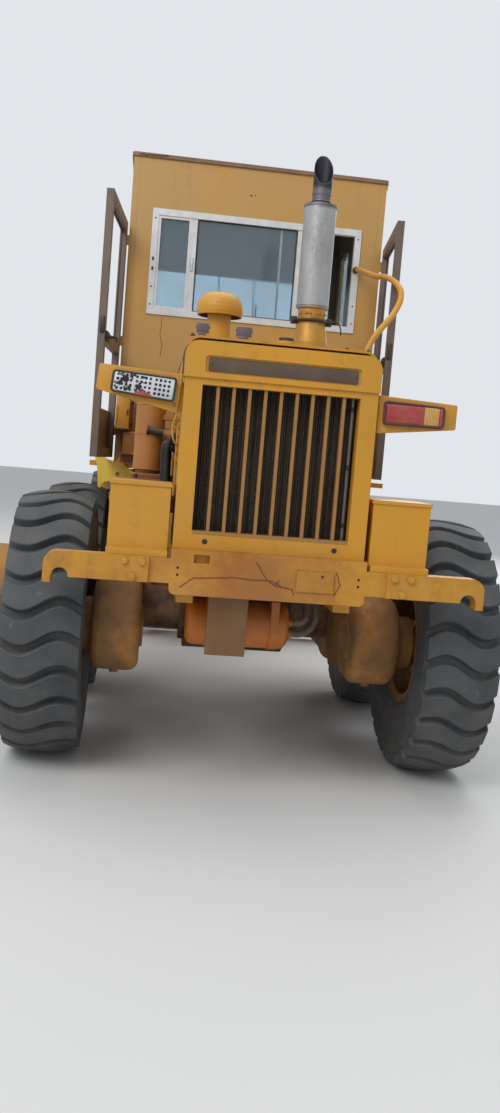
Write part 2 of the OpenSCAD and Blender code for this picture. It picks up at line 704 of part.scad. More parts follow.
module front_frame() color("goldenrod") {
    half = beam_w / 2;
    boss_low = pivot_low + ear + 5;
    boss_top = pivot_top - ear - 5;
    yoke_in = lift_x - lift_r - 8;
    yoke_out = lift_x + lift_r + 8;
    difference() {
        union() {
            bar_z(0, pivot_y, boss_low, boss_top, 110);
            side(-half + 30, half - 30, [[pivot_y, boss_low + 30], [pivot_y + 420, boss_low + 30],
                [pivot_y + 420, boss_top - 20], [pivot_y, boss_top - 20]]);
            side(-half, half, outline([[pivot_y + 160, boss_low + 20, 0],
                [pivot_y + 300, boss_low + 20, 220], [pivot_y + 700, beam_low, 240],
                [ball_y - 780, beam_low, 320], [ball_y - 150, 1110, 200], [front_y - 170, 1000, 0],
                [nose_y, nose_z - 120, 40], [nose_y, nose_z + 120, 60], [front_y - 230, 1270, 240],
                [ball_y - 560, beam_top, 320], [pivot_y + 560, beam_top, 240],
                [pivot_y + 220, 1350, 140], [pivot_y + 160, 1350, 0]], 5));
            block([-260, front_y - 190, 1000], [260, nose_y - 20, 1060]);
            for (y = [front_y - 140, front_y + 85])
                across(y, y + 55, outline([[-100, 1010, 0], [100, 1010, 0], [80, 755, 50], [-80, 755, 50]], 4));
            block([-75, ball_y - 20, ball_z - 85], [75, ball_y + 115, 1130]);
            for (s = [0, 1]) mirror([s, 0, 0]) {
                block([half - 5, trunnion_y + 15, trunnion_z - 75],
                    [yoke_in - 12, trunnion_y + 125, trunnion_z + 20]);
                for (x = [yoke_in - 22, yoke_out])
                    block([x, trunnion_y - 42, trunnion_z - 42], [x + 22, trunnion_y + 125, trunnion_z + 42]);
                block([yoke_in - 22, trunnion_y + 90, trunnion_z - 42],
                    [yoke_out + 22, trunnion_y + 125, trunnion_z + 42]);
            }
        }
        bar_z(0, pivot_y, boss_low - 1, boss_top + 1, pivot_r + run);
        translate([0, ball_y, ball_z]) sphere(r = ball_r + 0.2);
        bar_x(-yoke_out - 30, yoke_out + 30, trunnion_y, trunnion_z, trunnion_r + run);
        for (x = [-0.5, 0.5] * nose_bolts.x, z = [-0.5, 0.5] * nose_bolts.y)
            bar_y(x, nose_y - 70, nose_y + 1, nose_z + z, nose_bolt_r);
    }
    bar_y(0, front_y - 140, front_y + 140, wheel_z + 140, 35);
    bar_x(-half, half, trunnion_y, trunnion_z, trunnion_r + 1);
}

module headlamps() color("whitesmoke") {
    for (s = [0, 1]) mirror([s, 0, 0]) {
        bar_z(200, front_y + 330, 1060, 1250, 16);
        bar_y(200, front_y + 290, front_y + 370, 1320, 78);
    }
}

module front_axle() color("goldenrod") {
    z = wheel_z;
    difference() {
        union() {
            across(front_y - 78, front_y + 78, outline([[-king_x, z - 88, 0], [-420, z - 70, 90],
                [-180, z + 40, 120], [180, z + 40, 120], [420, z - 70, 90], [king_x, z - 88, 0],
                [king_x, z + 88, 0], [king_x - 75, z + 88, 0], [430, z + 120, 150],
                [180, z + 210, 120], [-180, z + 210, 120],
                [-430, z + 120, 150], [75 - king_x, z + 88, 0], [-king_x, z + 88, 0]], 4));
            for (s = [-1, 1]) bar_z(s * king_x, front_y, z - 88, z + 88, 62);
        }
        bar_y(0, front_y - 90, front_y + 90, z + 140, 35 + run);
        for (s = [-1, 1]) bar_z(s * king_x, front_y, z - 100, z + 100, king_r + run);
        for (y = [front_y - 100, front_y + 50]) pair([230, y, z + 20], [600, y + 50, z + 90]);
    }
}

// Left knuckle about its king pin, with its spindle and steering arm
module knuckle() {
    z = wheel_z;
    difference() {
        union() {
            for (e = [z - 134, z + 92]) {
                bar_z(-king_x, front_y, e, e + 42, 60);
                block([-king_x - 92, front_y - 58, e], [-king_x, front_y + 58, e + 42]);
            }
            block([-inner_x + 5, front_y - 62, z - 134], [-king_x - 68, front_y + 62, z + 134]);
            translate([-inner_x + 5, front_y, z]) rotate([0, 90, 0]) cylinder(r = hub_r - 10, h = 24);
            block([-king_x - 26, front_y - arm_len, tie_z - 60], [-king_x + 26, front_y - 40, tie_z - 26]);
            bar_z(-king_x, front_y - arm_len, tie_z - 60, tie_z - 26, 34);
        }
        bar_z(-king_x, front_y - arm_len, tie_z - 70, tie_z, 14 + run);
    }
    bar_z(-king_x, front_y, z - 138, z + 138, king_r);
    bar_x(-wheel_x - hub_out + 5, -inner_x + 6, front_y, z, spindle_r);
}

module knuckle_left() color("goldenrod") {
    knuckle();
}

module knuckle_right() color("goldenrod") {
    mirror([1, 0, 0]) knuckle();
}

module tie_rod() color("gray") {
    y = front_y - arm_len;
    z = tie_z - 3;
    bar_x(-king_x, king_x, y, z, 20);
    for (s = [-1, 1]) {
        bar_z(s * king_x, y, z - 21, z + 24, 32);
        bar_z(s * king_x, y, tie_z - 62, z, 14);
    }
}

// Circle and blade

module drawbar() color("goldenrod") {
    z0 = circle_z[1] + 6;
    z1 = z0 + 100;
    difference() {
        translate([0, 0, z0]) linear_extrude(z1 - z0) polygon([[-60, ball_y - 150], [60, ball_y - 150],
            [lift_x, lift_y + 160], [lift_x + 50, lift_y - 60], [lift_x + 20, circle_y - 120],
            [380, circle_y - 420], [-380, circle_y - 420], [-lift_x - 20, circle_y - 120],
            [-lift_x - 50, lift_y - 60], [-lift_x, lift_y + 160]]);
        translate([0, 0, z0 - 1]) linear_extrude(z1 - z0 + 2) polygon(outline([[0, ball_y - 420, 20],
            [330, lift_y + 330, 60], [-330, lift_y + 330, 60]], 4));
        bar_z(0, circle_y, z0 - 1, z1 + 1, 330);
        bar_z(0, pinion_y, z0 - 1, z1 + 1, 31);
    }
    bar_y(0, ball_y - 260, ball_y, ball_z, 34);
    block([-62, ball_y - 330, z0], [62, ball_y - 150, ball_z + 34]);
    translate([0, ball_y, ball_z]) sphere(r = ball_r);
    for (s = [-1, 1]) {
        bar_z(s * lift_x, lift_y, z1, lift_z, 20);
        translate([s * lift_x, lift_y, lift_z]) sphere(r = stud_r);
    }
    for (a = [45, 135, 225, 315]) translate([0, circle_y, 0]) rotate([0, 0, a]) {
        block([circle_r + 5, -60, circle_z[0] - 30], [circle_r + 30, 60, z0 + 30]);
        block([480, -60, z0], [circle_r + 30, 60, z0 + 30]);
        block([circle_r - 25, -60, circle_z[0] - 30], [circle_r + 10, 60, circle_z[0] - seat]);
    }
}

module circle_drive() color("dimgray") {
    z1 = circle_z[1] + 106;
    bar_z(0, pinion_y, z1, z1 + 60, 130);
    bar_z(0, pinion_y, z1 + 60, z1 + 140, 70);
    bar_z(0, pinion_y, circle_z[0] + 2, circle_z[1] + 2, 46);
    bar_z(0, pinion_y, circle_z[1], z1, 30);
}

module circle_ring() {
    root = circle_in + 14;
    tip = circle_in - 8;
    pitch = 360 / circle_teeth;
    teeth = [for (i = [0:circle_teeth - 1], k = [[0, root], [0.2, root], [0.38, tip], [0.82, tip]])
        k[1] * [cos((i + k[0]) * pitch), sin((i + k[0]) * pitch)]];
    translate([0, circle_y, circle_z[0]]) linear_extrude(circle_z[1] - circle_z[0]) difference() {
        circle(r = circle_r, $fn = 96);
        polygon(teeth);
    }
}

module turn_circle() color("goldenrod") {
    circle_ring();
    difference() {
        for (s = [0, 1]) mirror([s, 0, 0]) {
            side(arm_x[0], arm_x[1], outline([[circle_y - 395, circle_z[0] + 1, 0],
                [circle_y - 395, 640, 60], [tip_y - 58, 420, 60], [tip_y - 58, tip_z - 58, 55],
                [tip_y + 58, tip_z - 58, 55], [tip_y + 58, 400, 60], [circle_y - 290, 600, 60],
                [circle_y - 290, circle_z[0] + 1, 0]], 4));
            block([arm_x[0] - 90, circle_y - 395, 640], [arm_x[0] + 1, circle_y - 355, circle_z[0] + 1]);
        }
        bar_x(-arm_x[1] - 1, arm_x[1] + 1, tip_y, tip_z, tip_r + run);
    }
}

module blade_carrier() color("goldenrod") {
    back = edge_y - 175;
    grip = rail_half + seat + jaw;
    difference() {
        union() {
            for (s = [0, 1]) mirror([s, 0, 0]) {
                side(carrier_x[0], carrier_x[1], outline([[tip_y - 50, tip_z - 50, 48],
                    [tip_y + 60, tip_z - 50, 20], [back, rail_z[0] - grip, 0], [back, rail_z[1] + grip, 0],
                    [back - 60, rail_z[1] + grip, 30], [tip_y - 50, tip_z + 150, 60]], 3));
                for (z = rail_z, e = [-grip, grip - jaw])
                    block([carrier_x[0], back - 1, z + e], [carrier_x[1], back + 26, z + e + jaw]);
                bar_x(carrier_x[1] - 1, arm_x[1] + 8, tip_y, tip_z, tip_r);
                block([300, shift_y - 95, shift_z - 30], [360, shift_y - 35, shift_z + 30]);
            }
            bar_x(-carrier_x[0] - 1, carrier_x[0] + 1, shift_y - 105, shift_z, 38);
            bar_x(-700, shift_end, shift_y, shift_z, 44);
        }
        bar_x(-660, shift_end + 1, shift_y, shift_z, 22 + run);
    }
}

module blade() color("goldenrod") {
    c = [edge_y + sqrt(pow(blade_curve, 2) - pow(blade_h / 2, 2)), edge_z + blade_h / 2];
    half = asin(blade_h / 2 / blade_curve);
    outer = blade_curve + blade_t;
    side(-blade_len / 2, blade_len / 2, concat(arc(c, blade_curve, 180 - half, 180 + half, 14),
        arc(c, outer, 180 + half, 180 - half, 14)));
    side(-blade_len / 2, blade_len / 2, [[edge_y - 6, edge_z], [edge_y + 14, edge_z],
        [edge_y - 30, edge_z + 150], [edge_y - 50, edge_z + 150]]);
    for (z = rail_z) {
        back = edge_y - (sqrt(pow(outer, 2) - pow(z - c.y, 2)) - (c.x - edge_y));
        block([-blade_len / 2 + 90, edge_y - 170, z - rail_half],
            [blade_len / 2 - 90, back + 5, z + rail_half]);
    }
    for (s = [-1, 1]) side(s * (blade_len / 2) - 8, s * (blade_len / 2) + 8,
        outline([[edge_y - 30, edge_z + 2, 0], [edge_y + 18, edge_z + 2, 10], [edge_y + 4, edge_z + 300, 60],
        [edge_y - 60, edge_z + 400, 0], [edge_y - 150, edge_z + 400, 30], [edge_y - 130, edge_z + 160, 60]], 3));
    block([1180, shift_y - 45, shift_z - 45], [1230, edge_y - 110, shift_z + 45]);
    bar_x(-100, 1181, shift_y, shift_z, 22);
}

// A lift cylinder's own frame has its trunnion at the origin and its rod downward
module lift_place(s) {
    translate([s * lift_x, trunnion_y, trunnion_z]) rotate([-lift_lean, 0, 0]) children();
}

module lift_barrel(s) {
    lift_place(s) difference() {
        union() {
            bar_z(0, 0, barrel_z[0], barrel_z[1], lift_r);
            bar_z(0, 0, barrel_z[0], barrel_z[0] + 35, lift_r + 5);
            bar_z(0, 0, barrel_z[1] - 20, barrel_z[1] + 10, lift_r + 4);
            bar_x(-lift_r - 29, lift_r + 29, 0, 0, trunnion_r);
        }
        bar_z(0, 0, barrel_z[0] - 1, barrel_z[1] - 30, rod_r + run);
    }
}

module lift_rod(s) {
    cup = stud_r + free;
    lift_place(s) bar_z(0, 0, -lift_len + cup + 8, rod_top, rod_r);
    translate([s * lift_x, lift_y, lift_z]) rotate([-lift_lean, 0, 0]) difference() {
        bar_z(0, 0, -14, cup + 22, cup + 16);
        sphere(r = cup);
        bar_z(0, 0, -15, 0, cup);
    }
}

module lift_barrel_left() color("goldenrod") {
    lift_barrel(-1);
}

module lift_barrel_right() color("goldenrod") {
    lift_barrel(1);
}

module lift_rod_left() color("silver") {
    lift_rod(-1);
}

module lift_rod_right() color("silver") {
    lift_rod(1);
}

// Wheels

// A rim turned about X, with its outer side toward positive X
module rim() {
    hole_r = 215;
    difference() {
        rotate([0, 90, 0]) rotate_extrude() polygon([[spindle_r + run, -hub_in], [hub_r, -hub_in],
            [hub_r, -20], [272, 44], [284, 44], [284, -142], [312, -152], [328, -164], [330, -160],
            [330, -151], [rim_r, -144], [rim_r, 144], [330, 151], [330, 160], [328, 164], [312, 152],
            [284, 142], [284, 62], [270, 64], [hub_r - 10, 6], [hub_r - 20, 60], [spindle_r + run, 60]]);
        for (i = [0:4]) rotate([90 + i * 72, 0, 0]) bar_x(-60, 90, hole_r, 0, 32);
    }
}

module wheel_place(s, y) {
    translate([s * wheel_x, y, wheel_z]) on_side(s) children();
}

module tyre() {
    p = 360 / lugs;
    half = tyre_w / 2;
    bead = (rim_r + 0.5) / cos(p / 2);
    // rows of tread points: side, lug radius, gap radius, share of the wave
    tread = [[-half + 4, tyre_r - 34, tyre_r - lug_depth - 34, 0],
        [-half / 2, tyre_r - 7, tyre_r - lug_depth - 4, -1], [0, tyre_r, tyre_r - lug_depth, 0],
        [half / 2, tyre_r - 7, tyre_r - lug_depth - 4, 1],
        [half - 4, tyre_r - 34, tyre_r - lug_depth - 34, 0]];
    wall = [half, rim_r + 190];
    foot = [142, bead];
    start = -90 - p * lug_top / 2;
    function spot(x, r, a) = [x, r * cos(a), r * sin(a)];
    n = 3 * lugs;
    points = concat(
        [for (i = [0:lugs - 1], k = [0, lug_top, (1 + lug_top) / 2], row = tread)
            spot(row[0], k == 0 || k == lug_top ? row[1] : row[2],
                start + (i + k + row[3] * lug_wave) * p)],
        [for (e = [[-wall.x, wall.y], [wall.x, wall.y], [-foot.x, foot.y], [foot.x, foot.y]],
            i = [0:lugs - 1]) spot(e.x, e.y, start + (i + lug_top / 2) * p)]);
    function t(i, j) = (i % n) * 5 + j;
    function w(e, i) = n * 5 + e * lugs + i % lugs;
    faces = concat(
        [for (i = [0:n - 1], j = [0:3], f = [[t(i, j), t(i, j + 1), t(i + 1, j + 1)],
            [t(i, j), t(i + 1, j + 1), t(i + 1, j)]]) f],
        [for (i = [0:lugs - 1], f = [[w(0, i), t(3 * i, 0), t(3 * i + 1, 0)],
            [w(0, i), t(3 * i + 1, 0), t(3 * i + 2, 0)], [w(0, i), t(3 * i + 2, 0), w(0, i + 1)],
            [w(0, i + 1), t(3 * i + 2, 0), t(3 * i + 3, 0)],
            [t(3 * i, 4), w(1, i), t(3 * i + 1, 4)], [t(3 * i + 1, 4), w(1, i), t(3 * i + 2, 4)],
            [t(3 * i + 2, 4), w(1, i), w(1, i + 1)], [t(3 * i + 2, 4), w(1, i + 1), t(3 * i + 3, 4)]]) f],
        [for (i = [0:lugs - 1], k = [[2, 0], [1, 3], [3, 2]], f = [
            [w(k[0], i), w(k[1], i), w(k[1], i + 1)], [w(k[0], i), w(k[1], i + 1), w(k[0], i + 1)]]) f]);
    polyhedron(points, faces);
}

module painted_rim(s, y) {
    color("goldenrod") wheel_place(s, y) rim();
}

module black_tyre(s, y) {
    color([0.17, 0.18, 0.2]) wheel_place(s, y) tyre();
}

rear_frame();
rear_bumper();
air_tank();
air_hoses();
engine_block();
transmission();
radiator();
grille();
hood();
exhaust_stack();
precleaner();
air_cleaner();
tail_lamps();
side_boxes();
tanks();
rear_axle();
tandem_cases();
platform();
steps();
handrail();
cab_shell();
cab_end_walls();
cab_roof();
cab_glass();
rear_window();
seat_base();
seat_cushions();
controls();
door_left();
door_right();
front_frame();
headlamps();
front_axle();
knuckle_left();
knuckle_right();
tie_rod();
drawbar();
circle_drive();
turn_circle();
blade_carrier();
blade();
lift_barrel_left();
lift_barrel_right();
lift_rod_left();
lift_rod_right();
painted_rim(-1, rear_wheels[0]);  // rim_rear_left
painted_rim(1, rear_wheels[0]);  // rim_rear_right
painted_rim(-1, rear_wheels[1]);  // rim_mid_left
painted_rim(1, rear_wheels[1]);  // rim_mid_right
painted_rim(-1, front_y);  // rim_front_left
painted_rim(1, front_y);  // rim_front_right
black_tyre(-1, rear_wheels[0]);  // tyre_rear_left
black_tyre(1, rear_wheels[0]);  // tyre_rear_right
black_tyre(-1, rear_wheels[1]);  // tyre_mid_left
black_tyre(1, rear_wheels[1]);  // tyre_mid_right
black_tyre(-1, front_y);  // tyre_front_left
black_tyre(1, front_y);  // tyre_front_right
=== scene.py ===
"""Looks of a worn motor grader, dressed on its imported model. All lengths are in metres."""
import json
import math
import random

import bmesh
import bpy
from mathutils import Matrix, Vector


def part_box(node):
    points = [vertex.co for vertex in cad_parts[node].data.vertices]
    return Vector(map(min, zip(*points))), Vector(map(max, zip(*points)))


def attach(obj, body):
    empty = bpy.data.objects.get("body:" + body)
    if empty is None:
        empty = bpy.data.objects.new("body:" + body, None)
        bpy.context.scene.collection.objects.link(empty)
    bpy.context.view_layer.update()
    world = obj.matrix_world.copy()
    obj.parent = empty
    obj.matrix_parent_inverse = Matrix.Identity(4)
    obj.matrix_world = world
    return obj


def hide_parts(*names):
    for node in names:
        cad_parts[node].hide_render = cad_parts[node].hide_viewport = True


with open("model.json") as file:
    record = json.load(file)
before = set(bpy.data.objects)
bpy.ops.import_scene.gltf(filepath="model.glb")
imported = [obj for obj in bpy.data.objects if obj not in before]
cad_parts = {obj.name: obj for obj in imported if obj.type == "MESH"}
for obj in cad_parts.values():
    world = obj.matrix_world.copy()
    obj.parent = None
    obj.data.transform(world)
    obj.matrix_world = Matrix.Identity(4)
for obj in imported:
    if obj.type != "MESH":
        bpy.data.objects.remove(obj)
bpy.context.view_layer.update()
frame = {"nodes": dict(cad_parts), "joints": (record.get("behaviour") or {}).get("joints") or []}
NODES = frame["nodes"]
REAR = "rear_section"

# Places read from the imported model
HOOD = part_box("hood")
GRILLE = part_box("grille")
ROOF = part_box("cab_roof")
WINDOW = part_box("rear_window")
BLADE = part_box("blade")
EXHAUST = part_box("exhaust_stack")
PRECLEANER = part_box("precleaner")

# Sizes of the real pieces, and places worked out from the model's
CAP_PROUD = 0.010
BUMPER_LOW = 0.980
# The hood's back face, from which places on the rear are measured
BACK = GRILLE[0].y + CAP_PROUD
CAP_TOP = GRILLE[1].z
HOOD_TOP = EXHAUST[0].z
HOOD_HALF = HOOD[1].x
ROOF_LAP = 0.012
CAB_HALF = ROOF[1].x - ROOF_LAP
CAB_BACK = ROOF[0].y + ROOF_LAP
CAB_FRONT = ROOF[1].y - ROOF_LAP
CAB_TOP = ROOF[0].z
CAB_WALL = 0.030
BARS_HALF = 0.360
BARS_LOW = 1.255
BARS_TOP = 1.930
# The soft width of an edge between two colours
HAIR = 0.001

# Where the photograph was taken from
CAMERA_AT = Vector((-0.575, -8.753, 1.604))
YAW = 0.1187
PITCH = 0.0906
ROLL = 0.0824
FOCAL_PIXELS = 1028.2
PHOTO_WIDTH = 500
PHOTO_HEIGHT = 1113
# Where the line of sight meets the photograph, which was cut out of a wider one
SIGHT_U = 265.0
SENSOR = 36.0


def rgb(red, green, blue):
    """A colour as a screen shows it, from 0 to 255, in the linear values that a shader takes."""
    def linear(value):
        share = value / 255
        return share / 12.92 if share <= 0.04045 else ((share + 0.055) / 1.055) ** 2.4
    return (linear(red), linear(green), linear(blue), 1.0)


def lighter(colour, times, more):
    """A colour brightened, no further than full."""
    return tuple(min(1.0, value * times + more) for value in colour[:3]) + (1.0,)


RUST = rgb(112, 62, 32)
OLD_RUST = rgb(82, 52, 38)
DUST = rgb(176, 152, 118)
MUD = rgb(146, 112, 78)
PRIMER = rgb(120, 108, 108)
BARE_STEEL = rgb(150, 146, 140)


# Shader nodes

class Net:
    """Short calls that make and link the nodes of one tree."""

    def __init__(self, tree):
        self.tree = tree

    def put(self, socket, value):
        if isinstance(value, bpy.types.NodeSocket):
            self.tree.links.new(value, socket)
        else:
            socket.default_value = value

    def node(self, kind, inputs=None, **settings):
        made = self.tree.nodes.new(kind)
        for name, value in settings.items():
            setattr(made, name, value)
        for name, value in (inputs or {}).items():
            self.put(made.inputs[name], value)
        return made

    def maths(self, operation, first, second=0.0, clamp=False):
        made = self.node("ShaderNodeMath", {0: first, 1: second}, operation=operation, use_clamp=clamp)
        return made.outputs[0]

    def fit(self, value, low, high, to_low=0.0, to_high=1.0):
        made = self.node("ShaderNodeMapRange", {"Value": value, "From Min": low, "From Max": high,
                                                "To Min": to_low, "To Max": to_high})
        return made.outputs[0]

    def noise(self, vector, scale, detail, roughness=0.55):
        made = self.node("ShaderNodeTexNoise", {"Vector": vector, "Scale": scale, "Detail": detail,
                                                "Roughness": roughness})
        return made.outputs[0]

    def mix(self, share, first, second):
        made = self.node("ShaderNodeMix", {0: share, 6: first, 7: second}, data_type="RGBA")
        return made.outputs[2]

    def place(self, stretch=(1.0, 1.0, 1.0)):
        """The object's own coordinates, which move with it, drawn out along an axis."""
        own = self.node("ShaderNodeTexCoord").outputs["Object"]
        return self.node("ShaderNodeVectorMath", {0: own, 1: stretch}, operation="MULTIPLY").outputs[0]

    def axes(self):
        """The x, y and z of the object's own coordinates."""
        parts = self.node("ShaderNodeSeparateXYZ", {0: self.place()})
        return parts.outputs[0], parts.outputs[1], parts.outputs[2]


def group(name, inputs, outputs, build):
    """A shader node group with named sockets, filled by build(net, sources, sink)."""
    tree = bpy.data.node_groups.new(name, "ShaderNodeTree")
    for label, value in inputs.items():
        kind = "NodeSocketColor" if isinstance(value, tuple) else "NodeSocketFloat"
        socket = tree.interface.new_socket(label, in_out="INPUT", socket_type=kind)
        socket.default_value = value
    for label, kind in outputs.items():
        tree.interface.new_socket(label, in_out="OUTPUT", socket_type=kind)
    net = Net(tree)
    build(net, net.node("NodeGroupInput").outputs, net.node("NodeGroupOutput").inputs)
    return tree


def build_edges(net, given, out):
    """Rounded shading at hard edges, and a broken mask along them."""
    soft = net.node("ShaderNodeBevel", {"Radius": given["Width"]}, samples=4).outputs[0]
    flat = net.node("ShaderNodeNewGeometry").outputs["True Normal"]
    facing = net.node("ShaderNodeVectorMath", {0: soft, 1: flat}, operation="DOT_PRODUCT").outputs["Value"]
    turned = net.fit(facing, 0.995, 0.80)
    ragged = net.fit(net.noise(net.place(), given["Scale"], 5.0, 0.65), 0.42, 0.62)
    worn = net.maths("MULTIPLY", net.maths("MULTIPLY", turned, ragged), given["Amount"], clamp=True)
    net.put(out["Mask"], worn)
    net.put(out["Normal"], soft)


def build_dust(net, given, out):
    """Dust that lies on what faces up and thickens towards the ground."""
    up = net.node("ShaderNodeSeparateXYZ", {0: net.node("ShaderNodeNewGeometry").outputs["True Normal"]})
    lying = net.fit(up.outputs[2], 0.15, 0.95, 0.25, 1.0)
    low = net.fit(net.axes()[2], given["Clear above"], 0.2, 0.0, 0.8)
    patchy = net.fit(net.noise(net.place(), given["Scale"], 6.0, 0.6), 0.35, 0.72)
    total = net.maths("MULTIPLY", net.maths("ADD", lying, low), patchy)
    net.put(out["Mask"], net.maths("MULTIPLY", total, given["Amount"], clamp=True))


def build_streaks(net, given, out):
    """Runs of rust or dirt, drawn out downward, with spots where they start."""
    runs = net.noise(net.place((1.0, 1.0, 0.09)), given["Scale"], 5.0, 0.6)
    spots = net.noise(net.place(), given["Spot scale"], 6.0, 0.7)
    both = net.maths("MULTIPLY", net.fit(runs, 0.54, 0.72), net.fit(spots, 0.45, 0.68))
    chips = net.fit(spots, 0.70, 0.76)
    net.put(out["Mask"], net.maths("MULTIPLY", net.maths("ADD", both, chips), given["Amount"], clamp=True))


def build_grain(net, given, out):
    """The small unevenness of a skin, coarse and fine together."""
    fine = net.noise(net.place(), given["Scale"], 3.0, 0.5)
    coarse = net.noise(net.place(), net.maths("MULTIPLY", given["Scale"], 0.08), 3.0, 0.5)
    net.put(out["Height"], net.maths("ADD", net.maths("MULTIPLY", fine, 0.35), coarse))


FLOAT = "NodeSocketFloat"
EDGES = group("broken edges", {"Width": 0.004, "Scale": 14.0, "Amount": 1.0},
              {"Mask": FLOAT, "Normal": "NodeSocketVector"}, build_edges)
DUSTING = group("lying dust", {"Scale": 3.0, "Clear above": 1.4, "Amount": 0.5}, {"Mask": FLOAT}, build_dust)
STREAKS = group("runs and chips", {"Scale": 9.0, "Spot scale": 30.0, "Amount": 0.5}, {"Mask": FLOAT},
                build_streaks)
GRAIN = group("skin grain", {"Scale": 60.0}, {"Height": FLOAT}, build_grain)


class Finish(Net):
    """A material's own tree, with its Principled shader ready."""

    def __init__(self, name):
        self.material = bpy.data.materials.new(name)
        self.material.use_nodes = True
        super().__init__(self.material.node_tree)
        self.shader = next(n for n in self.tree.nodes if n.type == "BSDF_PRINCIPLED")

    def use(self, tree, **inputs):
        """A node group placed in this material, with its named inputs set."""
        made = self.node("ShaderNodeGroup", node_tree=tree)
        for name, value in inputs.items():
            self.put(made.inputs[name.replace("_", " ")], value)
        return made

    def give(self, **values):
        """Set or link sockets of the Principled shader: base_color, roughness and so on."""
        for name, value in values.items():
            self.put(self.shader.inputs[name.replace("_", " ").title()], value)
        return self.material

    def relief(self, height, depth, normal=None):
        """A bump from height, depth metres high, over an optional softened normal."""
        inputs = {"Height": height, "Distance": depth, "Strength": 1.0}
        if normal is not None:
            inputs["Normal"] = normal
        return self.node("ShaderNodeBump", inputs).outputs[0]


def worn_paint(name, colour, faded, rust=0.5, dust=0.35, wear=0.8, under=PRIMER, clear=1.3, inside=None,
               inner=rgb(110, 100, 86)):
    """Old machine paint: faded in patches, chipped at its edges, streaked with rust and dusty."""
    net = Finish(name)
    patches = net.fit(net.noise(net.place(), 1.6, 5.0, 0.6), 0.38, 0.64)
    small = net.fit(net.noise(net.place(), 22.0, 4.0, 0.6), 0.3, 0.75, 0.0, 0.35)
    tone = net.mix(net.maths("ADD", patches, small, clamp=True), colour, faded)
    if inside is not None:
        tone = net.mix(inside(net), tone, inner)
    edges = net.use(EDGES, Width=0.004, Scale=13.0, Amount=wear)
    runs = net.use(STREAKS, Scale=8.0, Spot_scale=34.0, Amount=rust).outputs[0]
    lying = net.use(DUSTING, Scale=2.6, Clear_above=clear, Amount=dust).outputs[0]
    tone = net.mix(runs, tone, RUST)
    tone = net.mix(edges.outputs["Mask"], tone, under)
    tone = net.mix(lying, tone, DUST)
    dull = net.maths("MAXIMUM", net.maths("MAXIMUM", runs, edges.outputs["Mask"]), lying)
    skin = net.maths("SUBTRACT", net.use(GRAIN, Scale=90.0).outputs[0], net.maths("MULTIPLY", dull, 0.6))
    return net.give(base_color=tone, roughness=net.fit(dull, 0.0, 1.0, 0.42, 0.88),
                    normal=net.relief(skin, 0.0012, edges.outputs["Normal"]))


def muddy_paint(name, colour, mud=0.8):
    """Running gear: paint under dried mud, with oily and rusty places."""
    net = Finish(name)
    tone = net.mix(net.fit(net.noise(net.place(), 3.0, 5.0, 0.6), 0.35, 0.7), colour, OLD_RUST)
    runs = net.use(STREAKS, Scale=7.0, Spot_scale=20.0, Amount=0.5).outputs[0]
    edges = net.use(EDGES, Width=0.005, Scale=10.0, Amount=0.5)
    cake = net.fit(net.noise(net.place(), 5.0, 8.0, 0.62), 0.40, 0.56, 0.0, mud)
    tone = net.mix(runs, tone, RUST)
    tone = net.mix(edges.outputs["Mask"], tone, OLD_RUST)
    tone = net.mix(cake, tone, MUD)
    lumps = net.maths("ADD", net.maths("MULTIPLY", cake, 0.8), net.use(GRAIN, Scale=55.0).outputs[0])
    return net.give(base_color=tone, roughness=net.fit(cake, 0.0, 1.0, 0.62, 0.95),
                    normal=net.relief(lumps, 0.003, edges.outputs["Normal"]))


def plain_metal(name, colour, rust, roughness=0.4, metallic=0.9, rusted=RUST, dust=0.2):
    """Bare or plated metal with some rust and dust."""
    net = Finish(name)
    runs = net.use(STREAKS, Scale=10.0, Spot_scale=42.0, Amount=rust).outputs[0]
    edges = net.use(EDGES, Width=0.002, Scale=20.0, Amount=rust)
    lying = net.use(DUSTING, Scale=4.0, Clear_above=1.2, Amount=dust).outputs[0]
    mottle = net.fit(net.noise(net.place(), 12.0, 5.0, 0.6), 0.3, 0.7, 0.86, 1.08)
    shade = net.node("ShaderNodeVectorMath", {0: colour[:3], 3: mottle}, operation="SCALE").outputs[0]
    masked = net.maths("MAXIMUM", net.maths("MAXIMUM", runs, edges.outputs["Mask"]), lying)
    tone = net.mix(lying, net.mix(runs, net.mix(edges.outputs["Mask"], shade, rusted), rusted), DUST)
    skin = net.use(GRAIN, Scale=60.0).outputs[0]
    return net.give(base_color=tone, roughness=net.fit(masked, 0.0, 1.0, roughness, 0.85),
                    metallic=net.fit(masked, 0.0, 0.7, metallic, 0.0),
                    normal=net.relief(skin, 0.0006, edges.outputs["Normal"]))


def banded_metal(name, bands):
    """Metal whose colour changes with height: bands holds (height, colour) from the lowest up."""
    net = Finish(name)
    ragged = net.fit(net.noise(net.place(), 11.0, 5.0), 0.0, 1.0, -0.03, 0.03)
    height = net.maths("ADD", net.axes()[2], ragged)
    tone = bands[0][1]
    for start, colour in bands[1:]:
        tone = net.mix(net.fit(height, start - 0.012, start + 0.012), tone, colour)
    runs = net.use(STREAKS, Scale=14.0, Spot_scale=36.0, Amount=0.55).outputs[0]
    mottle = net.fit(net.noise(net.place((1.0, 1.0, 0.35)), 16.0, 6.0, 0.65), 0.35, 0.75, 0.0, 0.3)
    tone = net.mix(mottle, net.mix(runs, tone, RUST), OLD_RUST)
    edges = net.use(EDGES, Width=0.003, Scale=16.0, Amount=0.2)
    return net.give(base_color=tone, roughness=net.fit(runs, 0.0, 1.0, 0.5, 0.9),
                    metallic=net.fit(runs, 0.0, 0.6, 0.55, 0.0),
                    normal=net.relief(net.use(GRAIN, Scale=80.0).outputs[0], 0.0008, edges.outputs["Normal"]))


